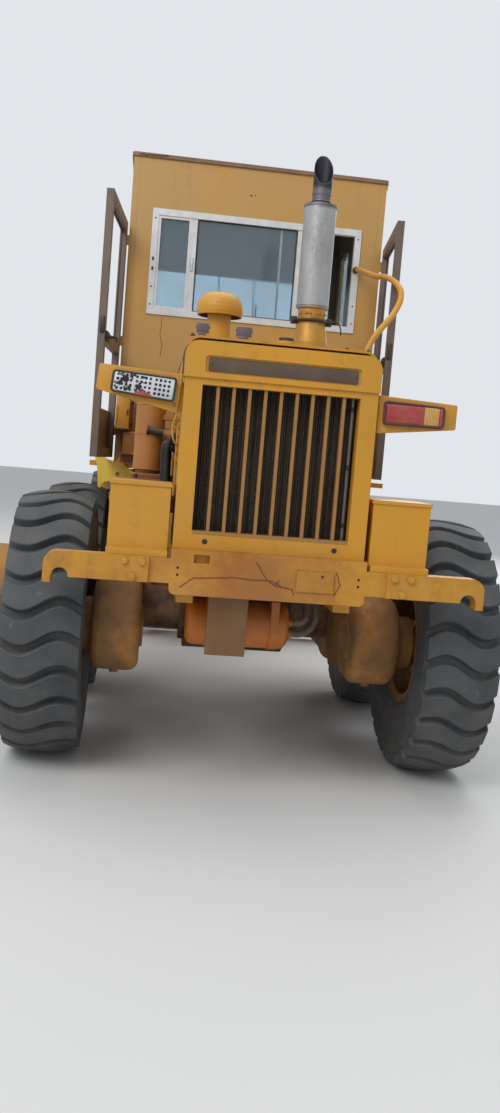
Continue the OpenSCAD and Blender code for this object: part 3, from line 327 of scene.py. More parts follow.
def rubber(name, colour, dust):
    """Dry black rubber, greyed by the sun, with pale scuffs and dust in its gaps."""
    net = Finish(name)
    sun = net.fit(net.noise(net.place(), 3.5, 5.0, 0.6), 0.35, 0.7, 0.0, 0.55)
    tone = net.mix(sun, colour, rgb(84, 92, 96))
    scuffs = net.fit(net.noise(net.place(), 15.0, 8.0, 0.72), 0.62, 0.74, 0.0, 0.5)
    tone = net.mix(scuffs, tone, rgb(128, 128, 128))
    lying = net.use(DUSTING, Scale=6.0, Clear_above=0.75, Amount=dust).outputs[0]
    tone = net.mix(lying, tone, rgb(138, 122, 104))
    edges = net.use(EDGES, Width=0.004, Scale=30.0, Amount=0.0)
    skin = net.use(GRAIN, Scale=150.0).outputs[0]
    return net.give(base_color=tone, roughness=net.fit(lying, 0.0, 1.0, 0.68, 0.93),
                    normal=net.relief(skin, 0.0012, edges.outputs["Normal"]))


def tinted_glass(name, colour):
    """Dusty window glass with a plain tint."""
    net = Finish(name)
    film = net.fit(net.noise(net.place(), 5.0, 6.0, 0.6), 0.45, 0.8, 0.0, 0.25)
    net.shader.inputs["Transmission Weight"].default_value = 0.9
    net.shader.inputs["IOR"].default_value = 1.45
    return net.give(base_color=net.mix(film, colour, rgb(190, 196, 196)),
                    roughness=net.fit(film, 0.0, 0.25, 0.04, 0.22))


def lens(name, colour, ribs):
    """Moulded lamp plastic with fine ribs."""
    net = Finish(name)
    across = net.axes()[0]
    wave = net.maths("SINE", net.maths("MULTIPLY", across, ribs))
    dirt = net.use(DUSTING, Scale=12.0, Clear_above=3.0, Amount=0.45).outputs[0]
    blotch = net.fit(net.noise(net.place(), 26.0, 5.0, 0.6), 0.35, 0.75, 0.0, 0.35)
    tone = net.mix(blotch, colour, lighter(colour, 1.5, 0.02))
    net.shader.inputs["Coat Weight"].default_value = 0.4
    return net.give(base_color=net.mix(dirt, tone, DUST), roughness=net.fit(dirt, 0.0, 1.0, 0.22, 0.7),
                    normal=net.relief(wave, 0.0012))


def soft_plastic(name, colour, roughness=0.55, scale=220.0, depth=0.0008):
    """Moulded plastic, vinyl or rubber trim with its grain and a little dust."""
    net = Finish(name)
    lying = net.use(DUSTING, Scale=7.0, Clear_above=0.4, Amount=0.35).outputs[0]
    blotch = net.fit(net.noise(net.place(), 9.0, 4.0), 0.3, 0.7, 0.0, 0.4)
    tone = net.mix(blotch, colour, lighter(colour, 1.6, 0.01))
    return net.give(base_color=net.mix(lying, tone, DUST), roughness=net.fit(lying, 0.0, 1.0, roughness, 0.9),
                    normal=net.relief(net.use(GRAIN, Scale=scale).outputs[0], depth))


def finned_core(name):
    """Radiator tubes and fins, clogged with dust in places."""
    net = Finish(name)
    x, _, z = net.axes()
    fins = net.maths("SINE", net.maths("MULTIPLY", z, 900.0))
    tubes = net.maths("SINE", net.maths("MULTIPLY", x, 520.0))
    clogged = net.fit(net.noise(net.place(), 4.0, 6.0, 0.6), 0.45, 0.75)
    tone = net.mix(net.fit(tubes, -0.2, 0.6), rgb(50, 42, 34), rgb(84, 72, 58))
    tone = net.mix(net.maths("MULTIPLY", clogged, 0.4), tone, rgb(92, 84, 66))
    return net.give(base_color=tone, roughness=0.8, normal=net.relief(net.maths("ADD", fins, tubes), 0.0015))


def blade_steel(name):
    """Blade paint worn to bright steel on its hollow and along its cutting edge."""
    net = Finish(name)
    ragged = net.fit(net.noise(net.place((0.6, 1.0, 1.5)), 5.0, 8.0, 0.7), 0.0, 1.0, -0.16, 0.16)
    bare = net.fit(net.maths("ADD", net.axes()[2], ragged), 0.46, 0.24)
    fading = net.fit(net.noise(net.place(), 2.0, 5.0), 0.35, 0.65)
    paint = net.mix(fading, rgb(190, 136, 52), rgb(168, 122, 62))
    runs = net.use(STREAKS, Scale=8.0, Spot_scale=26.0, Amount=0.9).outputs[0]
    worn = net.mix(net.fit(net.noise(net.place((0.3, 1.0, 6.0)), 9.0, 6.0, 0.7), 0.35, 0.7),
                   rgb(132, 126, 120), rgb(112, 84, 62))
    tone = net.mix(bare, net.mix(runs, paint, RUST), worn)
    edges = net.use(EDGES, Width=0.004, Scale=12.0, Amount=0.9)
    lying = net.use(DUSTING, Scale=4.0, Clear_above=0.9, Amount=0.55).outputs[0]
    tone = net.mix(lying, net.mix(edges.outputs["Mask"], tone, BARE_STEEL), MUD)
    return net.give(base_color=tone, metallic=net.fit(net.maths("SUBTRACT", bare, lying), 0.2, 1.0, 0.0, 0.7),
                    roughness=net.fit(bare, 0.0, 1.0, 0.7, 0.42),
                    normal=net.relief(net.use(GRAIN, Scale=70.0).outputs[0], 0.0012, edges.outputs["Normal"]))


def inside_cab(net):
    """One inside the cab's walls and under its roof, and nothing outside."""
    x, y, z = net.axes()
    inner = CAB_HALF - CAB_WALL
    side = net.fit(net.maths("ABSOLUTE", x), inner + HAIR, inner - HAIR)
    middle = (CAB_BACK + CAB_FRONT) / 2
    reach = (CAB_FRONT - CAB_BACK) / 2 - CAB_WALL
    ends = net.fit(net.maths("ABSOLUTE", net.maths("SUBTRACT", y, middle)), reach + HAIR, reach - HAIR)
    low = net.fit(z, CAB_TOP + 0.012, CAB_TOP + 0.002)
    return net.maths("MULTIPLY", net.maths("MULTIPLY", side, ends), low)


def among_bars(net):
    """One on the grille's upright bars, and nothing on its frame."""
    x, _, z = net.axes()
    across = net.fit(net.maths("ABSOLUTE", x), BARS_HALF + HAIR, BARS_HALF - HAIR)
    above = net.fit(z, BARS_LOW - HAIR, BARS_LOW + HAIR)
    below = net.fit(z, BARS_TOP + HAIR, BARS_TOP - HAIR)
    return net.maths("MULTIPLY", across, net.maths("MULTIPLY", above, below))


def below_bumper(net):
    """One on the brown plate that hangs under the bumper, and nothing on the bumper."""
    return net.fit(net.axes()[2], BUMPER_LOW + 2 * HAIR, BUMPER_LOW - 2 * HAIR)


YELLOW = rgb(210, 146, 24)
YELLOW_FADED = rgb(196, 140, 36)
CAB_TAN = rgb(194, 146, 68)
CAB_TAN_FADED = rgb(186, 146, 86)

PAINT = worn_paint("faded yellow paint", YELLOW, YELLOW_FADED)
CAB_PAINT = worn_paint("tan cab paint", CAB_TAN, CAB_TAN_FADED, rust=0.3, dust=0.2, inside=inside_cab)
BUMPER_PAINT = worn_paint("scraped bumper paint", rgb(200, 142, 32), rgb(160, 98, 30), rust=0.75, wear=1.0,
                          under=RUST, inside=below_bumper, inner=rgb(112, 74, 36))
GRILLE_PAINT = worn_paint("grille paint", YELLOW, YELLOW_FADED, inside=among_bars, inner=rgb(160, 112, 52))
AIR_CLEANER_PAINT = worn_paint("dull orange paint", rgb(178, 116, 52), rgb(154, 100, 50), rust=0.6, dust=0.4)
BRACKET_PAINT = worn_paint("brown bracket paint", rgb(128, 78, 44), rgb(104, 66, 44), rust=0.9,
                           under=OLD_RUST)
TANK_PAINT = worn_paint("orange air tank paint", rgb(206, 112, 18), rgb(170, 96, 30), rust=0.5, dust=0.2,
                        clear=0.4)
LATCH_PAINT = worn_paint("grey latch paint", rgb(112, 100, 104), rgb(92, 84, 90), rust=0.5, dust=0.3,
                         under=OLD_RUST)
ROOF_PAINT = worn_paint("rusted roof sheet", rgb(150, 110, 70), rgb(112, 84, 70), rust=1.0, dust=0.4,
                        under=OLD_RUST, inside=inside_cab)
FRAME_PAINT = worn_paint("front frame paint", YELLOW, rgb(190, 136, 58), rust=0.5, dust=0.4, under=RUST)
DARK_DOOR = worn_paint("brown door channel", rgb(92, 78, 68), rgb(110, 94, 82), rust=0.8, dust=0.3,
                       under=rgb(60, 48, 42))
MUDDY = muddy_paint("muddy running gear", rgb(204, 146, 74))
MUDDY_LIGHT = muddy_paint("dusty wheel paint", rgb(158, 112, 56), mud=0.8)
# Very dark muddy paint on the rear axle, much darker than the other running gear.
DARK_AXLE_MUD = muddy_paint("dark axle mud", rgb(74, 54, 38))
IRON = plain_metal("oily iron", rgb(62, 58, 54), rust=0.5, roughness=0.5, metallic=0.5)
STEEL = plain_metal("dull steel", rgb(128, 126, 122), rust=0.4)
CHROME = plain_metal("polished rod", rgb(204, 204, 206), rust=0.05, roughness=0.12, metallic=1.0, dust=0.1)
ALUMINIUM = plain_metal("white aluminium", rgb(214, 215, 214), rust=0.08, roughness=0.38, metallic=0.25,
                        rusted=rgb(140, 120, 100))
MUFFLER = banded_metal("muffler sheet", [(0.0, rgb(198, 150, 66)), (HOOD_TOP + 0.192, rgb(86, 72, 66)),
                                         (HOOD_TOP + 0.212, rgb(196, 140, 48)),
                                         (HOOD_TOP + 0.262, rgb(172, 174, 174)),
                                         (HOOD_TOP + 0.782, rgb(112, 108, 112)),
                                         (HOOD_TOP + 0.880, rgb(44, 46, 56))])
CORE = finned_core("dusty radiator core")
GLASS = tinted_glass("blue tinted glass", rgb(212, 232, 244))
BLADE_SKIN = blade_steel("worn blade")
TYRE = rubber("dry tyre rubber", rgb(54, 60, 64), dust=0.32)
TRIM = soft_plastic("black rubber trim", rgb(30, 29, 29))
BLACK_PLASTIC = soft_plastic("black control plastic", rgb(36, 36, 38))
VINYL = soft_plastic("black vinyl", rgb(34, 34, 37), 0.45, 320.0, 0.0006)
RED_LENS = lens("red lamp lens", rgb(170, 34, 40), 900.0)
AMBER_LENS = lens("amber lamp lens", rgb(212, 160, 74), 900.0)
CLEAR_LENS = lens("clear lamp lens", rgb(206, 210, 212), 600.0)
REFLECTOR = plain_metal("silvered reflector", rgb(222, 224, 226), rust=0.05, roughness=0.25, metallic=0.55,
                        dust=0.1)
LAMP_SURROUND = soft_plastic("dark red surround", rgb(70, 24, 26))
# Near-black for seams, lamp cells and splinters, and painted shade in small holes and in the hood's side bay.
NEAR_BLACK_AND_HOLE_SHADE = soft_plastic("near-black and painted hole shade", rgb(30, 30, 34), 0.9)
PLATE_BACK = soft_plastic("bare plate recess", rgb(84, 68, 56), 0.8, 90.0)
LIP_PAINT = worn_paint("worn hood edge", rgb(176, 136, 84), rgb(128, 108, 106), rust=0.6, under=OLD_RUST)
# Pale yellow of the torn sheet, brighter than its paint: painted light against the shade of the door and
# locker above it.
PALE_SHEET_WITH_PAINTED_LIGHT = worn_paint("pale torn sheet with painted light", rgb(242, 206, 70), rgb(228, 194, 84), rust=0.25, dust=0.2)
# Grey-blue of the lining behind the windscreen's upper part: painted shade of the cab's inside seen through
# the glass.
LINING_AS_PAINTED_SHADE = soft_plastic("grey-blue lining as painted shade", rgb(98, 110, 124), 0.8, 120.0)
HOSE = soft_plastic("dusty hose", rgb(96, 88, 78), 0.8, 160.0)
BLACK_HOSE = soft_plastic("black hose", rgb(34, 32, 32), 0.7, 160.0)
RUSTY_DARK = soft_plastic("rusty dark screen", rgb(62, 42, 30), 0.85)
WELD = plain_metal("rusty weld", rgb(104, 66, 42), rust=0.8, roughness=0.8, metallic=0.2)

CAD_FINISHES = {
    PAINT: ["hood", "precleaner", "side_boxes", "tanks", "platform", "steps", "rear_frame"],
    GRILLE_PAINT: ["grille"],
    AIR_CLEANER_PAINT: ["air_cleaner"],
    TANK_PAINT: ["air_tank"],
    HOSE: ["air_hoses"],
    CAB_PAINT: ["cab_shell", "cab_end_walls"],
    ROOF_PAINT: ["cab_roof"],
    BUMPER_PAINT: ["rear_bumper"],
    FRAME_PAINT: ["front_frame", "drawbar", "lift_barrel_left", "lift_barrel_right"],
    DARK_AXLE_MUD: ["rear_axle"],
    MUDDY: ["tandem_cases", "front_axle", "knuckle_left", "knuckle_right", "turn_circle", "blade_carrier"],
    MUDDY_LIGHT: [f"rim_{place}_{hand}" for place in ("rear", "mid", "front") for hand in ("left", "right")],
    IRON: ["engine_block", "transmission", "circle_drive", "tie_rod"],
    MUFFLER: ["exhaust_stack"],
    CORE: ["radiator"],
    GLASS: ["cab_glass"],
    ALUMINIUM: ["rear_window"],
    DARK_DOOR: ["door_left", "door_right"],
    BLACK_PLASTIC: ["controls", "seat_base"],
    CHROME: ["lift_rod_left", "lift_rod_right"],
    BLADE_SKIN: ["blade"],
    STEEL: ["headlamps"],
}


# Shapes

CORNER_STEPS = 5


class Shape:
    """A mesh under construction. Each call adds one closed form with its own material number."""

    def __init__(self):
        self.bm = bmesh.new()

    def paint(self, verts, material):
        """Give the faces round verts a material number and smooth shading."""
        for face in {face for vert in verts for face in vert.link_faces}:
            face.material_index = material
            face.smooth = True

    def box(self, low, high, material, bevel):
        """A box between two corners, its edges rounded by bevel."""
        low, high = Vector(low), Vector(high)
        place = Matrix.Translation((low + high) / 2) @ Matrix.Diagonal((*(high - low), 1.0))
        verts = bmesh.ops.create_cube(self.bm, size=1.0, matrix=place)["verts"]
        self.paint(verts, material)
        self.round_off(verts, bevel)

    def round_off(self, verts, bevel):
        """Bevel every edge between verts, where bevel isn't 0."""
        if bevel:
            edges = list({edge for vert in verts for edge in vert.link_edges})
            bmesh.ops.bevel(self.bm, geom=edges, offset=bevel, segments=2, profile=0.5, affect="EDGES")

    def rod(self, start, end, radius, material, segments):
        """A straight round bar between two points."""
        start, end = Vector(start), Vector(end)
        turn = (end - start).to_track_quat("Z", "Y").to_matrix().to_4x4()
        made = bmesh.ops.create_cone(self.bm, cap_ends=True, segments=segments, radius1=radius,
                                     radius2=radius, depth=(end - start).length,
                                     matrix=Matrix.Translation((start + end) / 2) @ turn)
        self.paint(made["verts"], material)

    def skin(self, rings, material=0, caps=True):
        """Faces between closed rings of points, with the first and last ring filled by caps."""
        made = [[self.bm.verts.new(point) for point in ring] for ring in rings]
        count = len(made[0])
        for first, second in zip(made, made[1:]):
            for i in range(count):
                j = (i + 1) % count
                self.bm.faces.new((first[i], first[j], second[j], second[i]))
        if caps:
            self.bm.faces.new(list(reversed(made[0])))
            self.bm.faces.new(made[-1])
        self.paint([vert for ring in made for vert in ring], material)

    def plate(self, outline, place, thickness, material, bevel):
        """A flat outline of (u, v) points raised by thickness, set by the matrix place."""
        low = [self.bm.verts.new(place @ Vector((u, v, 0.0))) for u, v in outline]
        high = [self.bm.verts.new(place @ Vector((u, v, thickness))) for u, v in outline]
        count = len(outline)
        self.bm.faces.new(list(reversed(low)))
        self.bm.faces.new(high)
        for i in range(count):
            j = (i + 1) % count
            self.bm.faces.new((low[i], low[j], high[j], high[i]))
        self.paint(low + high, material)
        self.round_off(low + high, bevel)

    def sweep(self, points, radius, material, segments, loop=False):
        """A round tube along points, which may close on itself."""
        points = [Vector(point) for point in points]
        count = len(points)
        rings = []
        side = None
        for i, point in enumerate(points):
            ahead = points[(i + 1) % count] if loop or i < count - 1 else point
            behind = points[i - 1] if loop or i > 0 else point
            along = (ahead - behind).normalized()
            if side is None:
                side = along.orthogonal().normalized()
            side = (side - along * side.dot(along)).normalized()
            other = along.cross(side)
            rings.append([point + radius * (c * side + s * other) for c, s in around(segments)])
        if loop:
            rings.append(rings[0])
        self.skin(rings, material, caps=not loop)
        if loop:
            bmesh.ops.remove_doubles(self.bm, verts=self.bm.verts, dist=1e-6)

    def bolt(self, at, out, radius, material, height):
        """A six-sided head on a washer, standing on at and facing out."""
        at, out = Vector(at), Vector(out).normalized()
        self.rod(at, at + out * height * 0.25, radius * 1.25, material, 20)
        self.rod(at + out * height * 0.2, at + out * height, radius, material, 6)
        self.rod(at + out * height * 0.9, at + out * height * 1.45, radius * 0.55, material, 12)

    def turn(self, matrix):
        """Move the whole shape by a matrix."""
        bmesh.ops.transform(self.bm, matrix=matrix, verts=self.bm.verts)

    def piece(self, name, body, materials, sharp=34.0):
        """Make the shape an object that rides on body, sharp where faces meet past that angle."""
        mesh = bpy.data.meshes.new(name)
        bmesh.ops.recalc_face_normals(self.bm, faces=self.bm.faces)
        self.bm.to_mesh(mesh)
        self.bm.free()
        mesh.set_sharp_from_angle(angle=math.radians(sharp))
        for material in materials:
            mesh.materials.append(material)
        made = bpy.data.objects.new(name, mesh)
        bpy.context.scene.collection.objects.link(made)
        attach(made, body)
        return made


def rounded(low_u, low_v, high_u, high_v, radius):
    """The outline of a rectangle with round corners, as (u, v) points."""
    corners = [(high_u - radius, high_v - radius, 0), (low_u + radius, high_v - radius, 90),
               (low_u + radius, low_v + radius, 180), (high_u - radius, low_v + radius, 270)]
    points = []
    for u, v, start in corners:
        for k in range(CORNER_STEPS + 1):
            angle = math.radians(start + 90 * k / CORNER_STEPS)
            points.append((u + radius * math.cos(angle), v + radius * math.sin(angle)))
    return points


def facing_back(y):
    """A place whose u runs to the right, v up and thickness backward, at y."""
    return Matrix(((1, 0, 0, 0), (0, 0, -1, y), (0, 1, 0, 0), (0, 0, 0, 1)))


def around(count, start=0.0):
    """The cosine and sine of count even steps round a circle."""
    angles = [2 * math.pi * (k + start) / count for k in range(count)]
    return [(math.cos(angle), math.sin(angle)) for angle in angles]


def level_ring(centre, radius, z, count):
    """A level circle of points round centre, z above it."""
    return [centre + Vector((radius * c, radius * s, z)) for c, s in around(count)]


def facing_ring(centre, radius, y, count):
    """A circle of points that faces along the machine, y ahead of centre."""
    return [centre + Vector((radius * c, y, radius * s)) for c, s in around(count)]


def wheel_ring(centre, radius, x, count):
    """A circle of points in a wheel's plane, x to the right of centre."""
    return [centre + Vector((x, radius * c, radius * s)) for c, s in around(count)]


def flowing(knots, steps):
    """Points of a smooth curve through knots."""
    knots = [Vector(knot) for knot in knots]
    rows = [2 * knots[0] - knots[1]] + knots + [2 * knots[-1] - knots[-2]]
    points = []
    for a, b, c, d in zip(rows, rows[1:], rows[2:], rows[3:]):
        for k in range(steps):
            t = k / steps
            points.append(0.5 * (2 * b + (c - a) * t + (2 * a - 5 * b + 4 * c - d) * t * t
                                 + (3 * b - a - 3 * c + d) * t ** 3))
    return points + [knots[-1]]


def softened(rows, radius, steps=CORNER_STEPS):
    """An outline of (u, v) rows with its corners softened by radius."""
    points = []
    for i, row in enumerate(rows):
        corner, before, after = Vector(row), Vector(rows[i - 1]), Vector(rows[(i + 1) % len(rows)])
        start = corner + (before - corner).normalized() * radius
        end = corner + (after - corner).normalized() * radius
        for k in range(steps + 1):
            t = k / steps
            point = (1 - t) ** 2 * start + 2 * t * (1 - t) * corner + t * t * end
            points.append((point.x, point.y))
    return points


def pad(side, depth, y0, z0, y1, z1):
    """The two corners of a pad that stands depth out of a side wall."""
    x0, x1 = sorted((side - depth * 0.5, side + depth))
    return (x0, y0, z0), (x1, y1, z1)


def weld_line(shape, points, radius, material, steps, seed):
    """A thin uneven bead through points."""
    rough = random.Random(seed)
    path = []
    for start, end in zip(points, points[1:]):
        start, end = Vector(start), Vector(end)
        for k in range(steps):
            spread = Vector((rough.uniform(-1, 1), 0.0, rough.uniform(-1, 1))) * radius * 0.9
            path.append(start.lerp(end, k / steps) + spread)
    path.append(Vector(points[-1]))
    shape.sweep(path, radius, material, 6)


# Tyres and wheels

LUGS = 26
# Share of the pitch that a lug takes, and how many pitches its ends are waved
LUG_TOP = 0.70
LUG_WAVE = 0.24
LUG_DEPTH = 0.044
TYRE_R = 0.688
TYRE_HALF = 0.190
RIM_R = 0.3055
TREAD_COLUMNS = 20
TREAD_HALF = 0.186
# Past this place across the tread the lugs aren't waved
WAVE_END = 0.187
# How far the tread falls to its shoulders, the power of that curve, and the gap's share of it
SHOULDER_FALL = 0.034
SHOULDER_CURVE = 2.3
GAP_FALL = 0.9
# Steps round one lug: share of the pitch, and how far the step drops into the gap, from 0 to 1
LUG_STEPS = [(0.0, 0.10), (0.03, 0.0), (0.2, 0.0), (0.35, 0.0), (0.5, 0.0), (0.67, 0.0), (0.70, 0.10),
             (0.735, 0.86), (0.765, 1.0), (0.85, 1.0), (0.935, 1.0), (0.965, 0.86)]
# Half of a tyre's section below the tread: place across and radius, from the shoulder to the bead
WALL = [(0.1875, 0.636), (0.1885, 0.612), (0.1895, 0.586), (0.1872, 0.570), (0.1898, 0.556), (0.1900, 0.500),
        (0.1885, 0.450), (0.1820, 0.405), (0.1790, 0.400), (0.1745, 0.375), (0.1640, 0.345), (0.1600, 0.338),
        (0.1490, 0.322), (0.1430, RIM_R)]
# How far the gap between two lugs cuts into the wall at its first points
WALL_CUTS = [0.028, 0.012]
# Rings round a tyre's side: radius, place across and thickness
WALL_BEADS = [(0.606, 0.1880, 0.0040), (0.560, 0.1880, 0.0035), (0.520, 0.1895, 0.0026),
              (0.428, 0.1830, 0.0040)]
SHOULDER_RIBS = 52
# Radius and place across of a shoulder rib's inner and outer end
RIB_INNER = (0.562, 0.1875)
RIB_OUTER = (0.602, 0.1870)
RIB_R = 0.0045

HUB_FACE = 1.025
NUTS = 10
NUT_CIRCLE = 0.160
CAP_BOLTS = 6
CAP_BOLT_CIRCLE = 0.048
# Radius of the hub cap and how far it stands out there
HUB_CAP = [(0.0685, 0.021), (0.0685, 0.052), (0.060, 0.062), (0.045, 0.070), (0.0001, 0.072)]
VALVE_HEIGHT = 0.268


def tread_section():
    """Columns from one bead over the tread to the other: place across, lug radius, gap radius."""
    side = [(x, radius, radius) for x, radius in WALL]
    for i, cut in enumerate(WALL_CUTS):
        x, radius = WALL[i]
        side[i] = (x, radius, radius - cut)
    top = []
    for i in range(TREAD_COLUMNS + 1):
        x = -TREAD_HALF + 2 * TREAD_HALF * i / TREAD_COLUMNS
        fall = SHOULDER_FALL * abs(x / TREAD_HALF) ** SHOULDER_CURVE
        top.append((x, TYRE_R - fall, TYRE_R - LUG_DEPTH - fall * GAP_FALL))
    left = [(-x, lug, gap) for x, lug, gap in reversed(side)]
    return left + top + side


def tyre_rings():
    """Rings of points round a tyre that turns about X, its lugs waved across the tread."""
    pitch = 2 * math.pi / LUGS
    half = pitch * LUG_TOP / 2
    section = tread_section()
    rings = []
    for lug in range(LUGS):
        for share, drop in LUG_STEPS:
            off = min(abs(share - LUG_TOP / 2) * pitch, half)
            flat = math.cos(half) / math.cos(off)
            ring = []
            for x, lug_r, gap_r in section:
                wave = math.sin(math.pi * x / TYRE_HALF) * LUG_WAVE if abs(x) < WAVE_END else 0.0
                angle = -math.pi / 2 - half + (lug + share + wave) * pitch
                radius = (lug_r * flat) * (1 - drop) + gap_r * drop if lug_r != gap_r else lug_r
                ring.append((x, radius * math.cos(angle), radius * math.sin(angle)))
            rings.append(ring)
    return rings


TYRE_RINGS = tyre_rings()


def make_tyre(place, hand):
    """One tyre with its real lugs, in place of the plain one."""
    node = f"tyre_{place}_{hand}"
    low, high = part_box(node)
    centre = Vector(((low.x + high.x) / 2, (low.y + high.y) / 2, TYRE_R * math.cos(math.pi / LUGS * LUG_TOP)))
    flip = -1.0 if hand == "left" else 1.0
    shape = Shape()
    rings = [[Vector((flip * x, y, z)) + centre for x, y, z in ring] for ring in TYRE_RINGS]
    shape.skin(rings + [rings[0]], caps=False)
    bmesh.ops.remove_doubles(shape.bm, verts=shape.bm.verts, dist=1e-6)
    for side in (-1, 1):
        for radius, across, thick in WALL_BEADS:
            shape.sweep(wheel_ring(centre, radius, side * across, 72), thick, 0, 6, loop=True)
        ends = [wheel_ring(centre, radius, side * across, SHOULDER_RIBS) for radius, across in
                (RIB_INNER, RIB_OUTER)]
        for inner, outer in zip(*ends):
            shape.rod(inner, outer, RIB_R, 0, 6)
    tyre = shape.piece(f"lugged_tyre_{place}_{hand}", f"wheel_{place}_{hand}", [TYRE], 28.0)
    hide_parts(node)


def make_wheel_trim(place, hand):
    """Wheel nuts, hub cap and valve of one wheel."""
    iron, paint, black = range(3)
    low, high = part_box(f"rim_{place}_{hand}")
    centre = (low + high) / 2
    out = 1.0 if hand == "right" else -1.0
    face = Vector((out, 0.0, 0.0))
    middle = Vector((out * HUB_FACE, centre.y, centre.z))
    shape = Shape()
    for c, s in around(NUTS, 0.5):
        shape.bolt(middle + Vector((out * 0.014, NUT_CIRCLE * c, NUT_CIRCLE * s)), face, 0.015, iron, 0.018)
    shape.skin([wheel_ring(middle, radius, out * reach, 32) for radius, reach in HUB_CAP], paint)
    for at in wheel_ring(middle, CAP_BOLT_CIRCLE, out * 0.062, CAP_BOLTS):
        shape.bolt(at, face, 0.006, iron, 0.006)
    stem = middle + Vector((out * 0.055, 0.0, VALVE_HEIGHT))
    shape.rod(stem, stem + Vector((out * 0.045, 0.0, -0.02)), 0.006, black, 12)
    shape.piece(f"wheel_nuts_{place}_{hand}", f"wheel_{place}_{hand}", [IRON, MUDDY_LIGHT, TRIM])


# Lamps

# The lamp's ends, from the hood's side, and its heights; its top falls a little outward
LAMP_NEAR = 0.031
LAMP_FAR = 0.315
LAMP_LOW = 1.826
LAMP_TOP = 1.933
LAMP_FALL = 0.010
LAMP_CORNER = 0.016
# The bracket's reach from the hood's side, the heights at its foot and at its tip, and its tip's corner
BRACKET_REACH = 0.381
BRACKET_FOOT = (1.780, 1.956)
BRACKET_TIP = (1.8255, 1.9415)
BRACKET_CORNER = 0.006
# How far the left lamp's bracket is bent up, in degrees, and lifted
LAMP_BEND = 5.0
LAMP_LIFT = 0.012
# Cells of the broken lamp's board: blocks of four by four, the first column and row, and their steps
CELL_START = 0.735
CELL_BLOCKS = 3
CELLS = 4
CELL_LOW = 1.846
CELL_STEP = 0.0195
BLOCK_STEP = 0.085
ROW_STEP = 0.0205
# Larger burnt places in that board: x, z and radius
BURNT_CELLS = [(0.700, 1.890, 0.016), (0.722, 1.872, 0.011), (0.640, 1.862, 0.012)]
SPLINTERS = 34
# The red shard left at the foot of the broken lens
SHARD = [(0.566, 1.8300), (0.660, 1.8300), (0.645, 1.8440), (0.618, 1.8500), (0.590, 1.8450)]
# Parts of the right lamp's lens, from its inner end: left side, right side, and 2 for red or 3 for amber
LENS_PARTS = [(0.486, 0.662, 2), (0.664, 0.734, 3), (0.736, 0.752, 2)]
LENS_LOW = 1.8365
LENS_TALL = 0.082
LENS_ROWS = 24
LENS_BULGE = 0.006
FRONT_LAMP_X = 0.200
FRONT_LAMP_Z = 1.320
# The front lamps' lens: radius and how far it stands forward there
FRONT_LENS = [(0.068, 0.0), (0.055, 0.004), (0.035, 0.007), (0.012, 0.008)]


def lamp_edge(grow=0.0):
    """The outline of the right lamp, grown all round."""
    near = HOOD_HALF + LAMP_NEAR - grow
    far = HOOD_HALF + LAMP_FAR + grow
    rows = [(near, LAMP_LOW - grow), (far, LAMP_LOW + 0.001 - grow), (far, LAMP_TOP - LAMP_FALL + grow),
            (near, LAMP_TOP + grow)]
    return softened(rows, LAMP_CORNER + grow)


def lamp_bracket(shape):
    """The plate that carries a tail lamp, as it stands on the right."""
    foot = HOOD_HALF + 0.006
    tip = HOOD_HALF + BRACKET_REACH
    low, high = BRACKET_TIP
    rows = [(foot, BRACKET_FOOT[0]), (tip - BRACKET_CORNER, low), (tip, low + BRACKET_CORNER),
            (tip, high - BRACKET_CORNER), (tip - BRACKET_CORNER, high), (foot, BRACKET_FOOT[1])]
    shape.plate(softened(rows, 0.0028, 2), facing_back(BACK + 0.044), 0.022, 0, 0.003)
    shape.sweep([(tip - 0.009, BACK + 0.033, 1.832), (tip - 0.006, BACK + 0.033, 1.885),
                 (tip - 0.009, BACK + 0.033, 1.936)], 0.006, 0, 8)


def lamp_foot(shape, out):
    """The angle that holds a lamp's bracket to the hood's side."""
    ends = sorted((out * HOOD_HALF, out * (HOOD_HALF + 0.060)))
    shape.box((ends[0], BACK + 0.040, 1.800), (ends[1], BACK + 0.066, 1.935), 0, 0.003)
    for z in (1.830, 1.905):
        shape.bolt((out * (HOOD_HALF + 0.038), BACK + 0.022, z), (0, -1, 0), 0.007, 0, 0.006)


def lamp_cells(shape, dark, steel):
    """Dark cells in the silvered board, larger where it is burnt, and splinters at its inner end."""
    chance = random.Random(4)
    for block in range(CELL_BLOCKS):
        spread = 0.0040 if block == 0 else 0.0012
        for column in range(CELLS):
            for row in range(CELLS):
                x = CELL_START - block * BLOCK_STEP - column * CELL_STEP
                z = CELL_LOW + row * ROW_STEP + (CELL_START - x) * 0.012
                size = 0.0058 + chance.random() * spread
                shape.rod((x, BACK - 0.0015, z), (x, BACK - 0.0030, z), size, dark, 14)
    for x, z, size in BURNT_CELLS:
        shape.rod((x, BACK - 0.0012, z), (x, BACK - 0.0026, z), size, dark, 7)
    for k in range(SPLINTERS):
        x = 0.604 + 0.140 * chance.random() ** 0.7
        z = 1.838 + 0.078 * chance.random()
        size = 0.0025 + 0.0055 * chance.random()
        front = BACK - 0.0031 - 0.00002 * k
        shape.rod((x, BACK - 0.0012, z), (x, front, z), size, dark if k % 3 else steel, 5 + k % 3)


